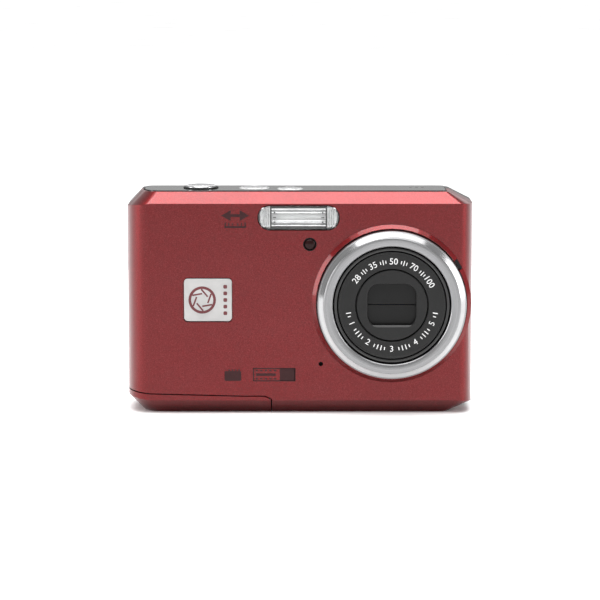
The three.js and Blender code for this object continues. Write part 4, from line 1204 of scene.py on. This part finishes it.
for number, up in ((1, 1), (2, -1)):
    node = f"aa_cell_{number}"
    low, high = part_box(node)
    centre = axis_of(node, "Z")
    r = (high.x - low.x) / 2
    foot = low.z if up > 0 else high.z

    def at(height):
        return foot + up * height * mm

    can = turned(f"cell_can_{number}", [
        (0, at(0)), (r - 1.6 * mm, at(0)), (
            r - 1.3 * mm, at(0.12)
        ), (r - 0.9 * mm, at(0.04)), (r - 0.35 * mm, at(0.1)),
        (r - 0.08 * mm, at(0.4)), (
            r - 0.08 * mm, at(48.8)
        ), (r - 0.4 * mm, at(49.15)), (r - 1.1 * mm, at(49.1)),
        (3.1 * mm, at(48.95)), (2.75 * mm, at(49.1)), (2.6 * mm, at(49.3)), (2.6 * mm, at(50.3)),
        (2.4 * mm, at(50.5)), (0, at(50.5))],
        axis="Z", centre=centre, steps=72, closed=False)
    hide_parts(node)
    fit_piece(can, "root", can_steel)
    wrap = turned(f"cell_sleeve_{number}", [
        (r - 0.07 * mm, at(0.45)), (r - 0.03 * mm, at(0.42)), (r, at(0.6)), (r, at(48.5)), (
            r - 0.05 * mm, at(48.75)
        ),
        (r - 0.07 * mm, at(48.7))], axis="Z", centre=centre, steps=72)
    fit_piece(wrap, "root", sleeve)
contact_brass = moulded(
    "contact_brass", (0.56, 0.42, 0.2, 1), 0.28, 2500, 200, 0.003 * mm, 0.06, metallic=1.0
)
for node, body in (
    ("terminal_plus", "root"), ("terminal_minus", "root"), ("door_contact", "battery_door")
):
    fit_piece(skin_of(node, node + "_leaf", 0.05 * mm, 2), body, contact_brass)
fit_piece(
    skin_of("door_slide_bracket", "door_bracket_plate", 0.06 * mm, 2), "door_carriage",
    spring_steel
)
fit_piece(
    skin_of("door_hinge_pin", "door_pin", 0.06 * mm, 2), "door_carriage", spring_steel
)

# ---- Lens drive and optics ----
# Behind the ring are the moulded base, the toothed cam ring with its nylon gear and motor, the
# shutter block with the front glass, and the focus glass before the sensor.
lens_black = moulded("lens_black", grey(0.02), 0.55, 4000, 120, 0.012 * mm, 0.05)
gear_nylon = moulded("gear_nylon", (0.62, 0.58, 0.5, 1), 0.42, 4000, 150, 0.006 * mm, 0.05)
cam_metal = turned_metal("cam_metal", (0.2, 0.2, 0.21), 0.35, 2500, (lens_x, lens_z))
fit_piece(skin_of("lens_base", "lens_base_cup", 0.1 * mm, 2), "root", lens_black)
fit_piece(
    skin_of("cam_ring", "cam_ring_toothed", 0.04 * mm, 1), "cam_ring", cam_metal
)
fit_piece(
    skin_of("drive_gear", "drive_gear_nylon", 0.04 * mm, 1), "drive_gear",
    gear_nylon
)
fit_piece(skin_of("lens_motor", "lens_motor_can", 0.1 * mm, 2), "root", can_steel)
fit_piece(
    skin_of("shutter_unit", "shutter_block", 0.12 * mm, 2), "barrel_2", lens_black
)
fit_piece(
    skin_of("focus_carrier", "focus_ring", 0.1 * mm, 2), "focus_group", lens_black
)
coated_glass, tree, shader = new_finish(
    "coated_glass", metallic=0.0, transmission_weight=1.0, ior=1.6, coat_weight=0.6,
    coat_roughness=0.02,
    coat_tint=(0.55, 0.75, 1.0, 1))
bloom = with_grain(tree, 2000, 60)
tree.links.new(
    ramp(tree, bloom.outputs["Cloud"], (0.3, (0.9, 0.95, 1.0, 1)), (0.7, (0.97, 0.94, 1.0, 1))),
    shader.inputs["Base Color"]
)
tree.links.new(
    ramp(tree, bloom.outputs["Grain"], (0.3, 0.01), (0.7, 0.03)), shader.inputs["Roughness"]
)
for node, body, front_sag, back_sag in (
    ("front_lens", "barrel_2", 0.7, 0.42), ("focus_lens", "focus_group", 0.3, 0.18)
):
    low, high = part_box(node)
    r = (high.x - low.x) / 2
    rows = 10
    curve = [(r * k / rows, low.y + front_sag * mm * (k / rows) ** 2) for k in range(rows + 1)]
    curve += [(r * k / rows, high.y - back_sag * mm * (k / rows) ** 2) for k in range(rows, -1, -1)]
    glass = turned(node + "_glass", curve, steps=72, closed=False)
    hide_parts(node)
    fit_piece(glass, body, coated_glass)

# ---- Boards, display and sockets ----
# Green boards carry the chips and the key domes. The display is a glass cell on a pressed bracket,
# and the card slot and the socket are folded steel shells on the main board.
board_green, tree, shader = new_finish("board_green", coat_weight=0.3, coat_roughness=0.2)
weave = with_grain(tree, 900, 2600)
tracks = put(tree, "ShaderNodeTexVoronoi", distance="CHEBYCHEV", feature="DISTANCE_TO_EDGE",
             scale=420.0,
             vector=put(tree, "ShaderNodeTexCoord").outputs["Object"])
tree.links.new(ramp(tree, tracks.outputs["Distance"], (0.04, (0.03, 0.16, 0.06, 1)),
                    (0.1, (0.010, 0.075, 0.03, 1))),
               shader.inputs["Base Color"])
tree.links.new(
    ramp(tree, weave.outputs["Grain"], (0.3, 0.34), (0.7, 0.46)), shader.inputs["Roughness"]
)
for node in ("main_board", "rear_key_board", "top_switch_board"):
    fit_piece(skin_of(node, node + "_laminate", 0.05 * mm, 2), "root", board_green)
board_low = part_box("main_board")[0]
chip_black = moulded("chip_black", grey(0.02), 0.45, 5000, 150, 0.008 * mm, 0.05)
chips, pads = [], []
for x, z, w, h, t in ((12, 32, 13, 13, 1.1), (-4, 40, 8, 10, 0.9), (-4, 24, 7, 7, 0.9),
                      (12, 12, 9, 6, 0.8),
                      (28, 48, 6, 3, 0.8), (-6, 12, 4, 4, 0.7), (2, 48, 5, 2.2, 0.7)):
    chips.append(on_front(
        x * mm, z * mm, board_low.y, w * mm, h * mm, t * 0.5 * mm, corner=0.2 * mm
    ))
    count = max(int(w / 1.2), 2)
    for k in range(count):
        for side in (-1, 1):
            pads.append(on_front((x + (k - (count - 1) / 2) * 1.1) * mm,
                                 (z + side * (h / 2 + 0.3)) * mm, board_low.y,
                                 0.5 * mm, 0.7 * mm, 0.15 * mm))
chips = joined("main_board_chips", chips)
rounded_edges(chips, 0.05 * mm, 2)
fit_piece(chips, "root", chip_black)
fit_piece(joined("main_board_leads", pads), "root", spring_steel)
for node in ("main_frame", "lcd_bracket", "sd_card_slot", "usb_socket"):
    fit_piece(skin_of(node, node + "_pressing", 0.07 * mm, 2), "root", spring_steel)
fit_piece(skin_of("lcd_panel", "lcd_cell", 0.12 * mm, 2), "root", pane_black)
sensor_blue = moulded(
    "sensor_blue", (0.03, 0.045, 0.12, 1), 0.14, 2500, 200, 0.002 * mm, 0.04, coat_weight=0.8
)
fit_piece(skin_of("image_sensor", "sensor_chip", 0.08 * mm, 2), "root", sensor_blue)
fit_piece(
    skin_of("nav_carrier", "nav_gimbal", 0.06 * mm, 2), "nav_carrier", box_black
)
fit_piece(
    skin_of("flash_capacitor", "flash_capacitor_can", 0.25 * mm, 3), "root",
    chip_black
)
speaker_low, speaker_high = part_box("speaker")
speaker_at = axis_of("speaker", "Z")
speaker_r = (speaker_high.x - speaker_low.x) / 2
top = speaker_high.z
speaker = turned("speaker_cone", [
    (0, speaker_low.z), (speaker_r * 0.8, speaker_low.z), (
        speaker_r, speaker_low.z + 0.5 * mm
    ), (speaker_r, top - 0.1 * mm),
    (speaker_r - 0.1 * mm, top), (speaker_r - 0.5 * mm, top), (
        speaker_r - 0.6 * mm, top - 0.35 * mm
    ), (speaker_r * 0.75, top - 0.2 * mm),
    (speaker_r * 0.62, top - 0.45 * mm), (speaker_r * 0.42, top - 0.6 * mm),
    (speaker_r * 0.36, top - 0.4 * mm), (0, top - 0.3 * mm)],
    axis="Z", centre=speaker_at, steps=64, closed=False)
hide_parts("speaker")
fit_piece(speaker, "root", lens_black)
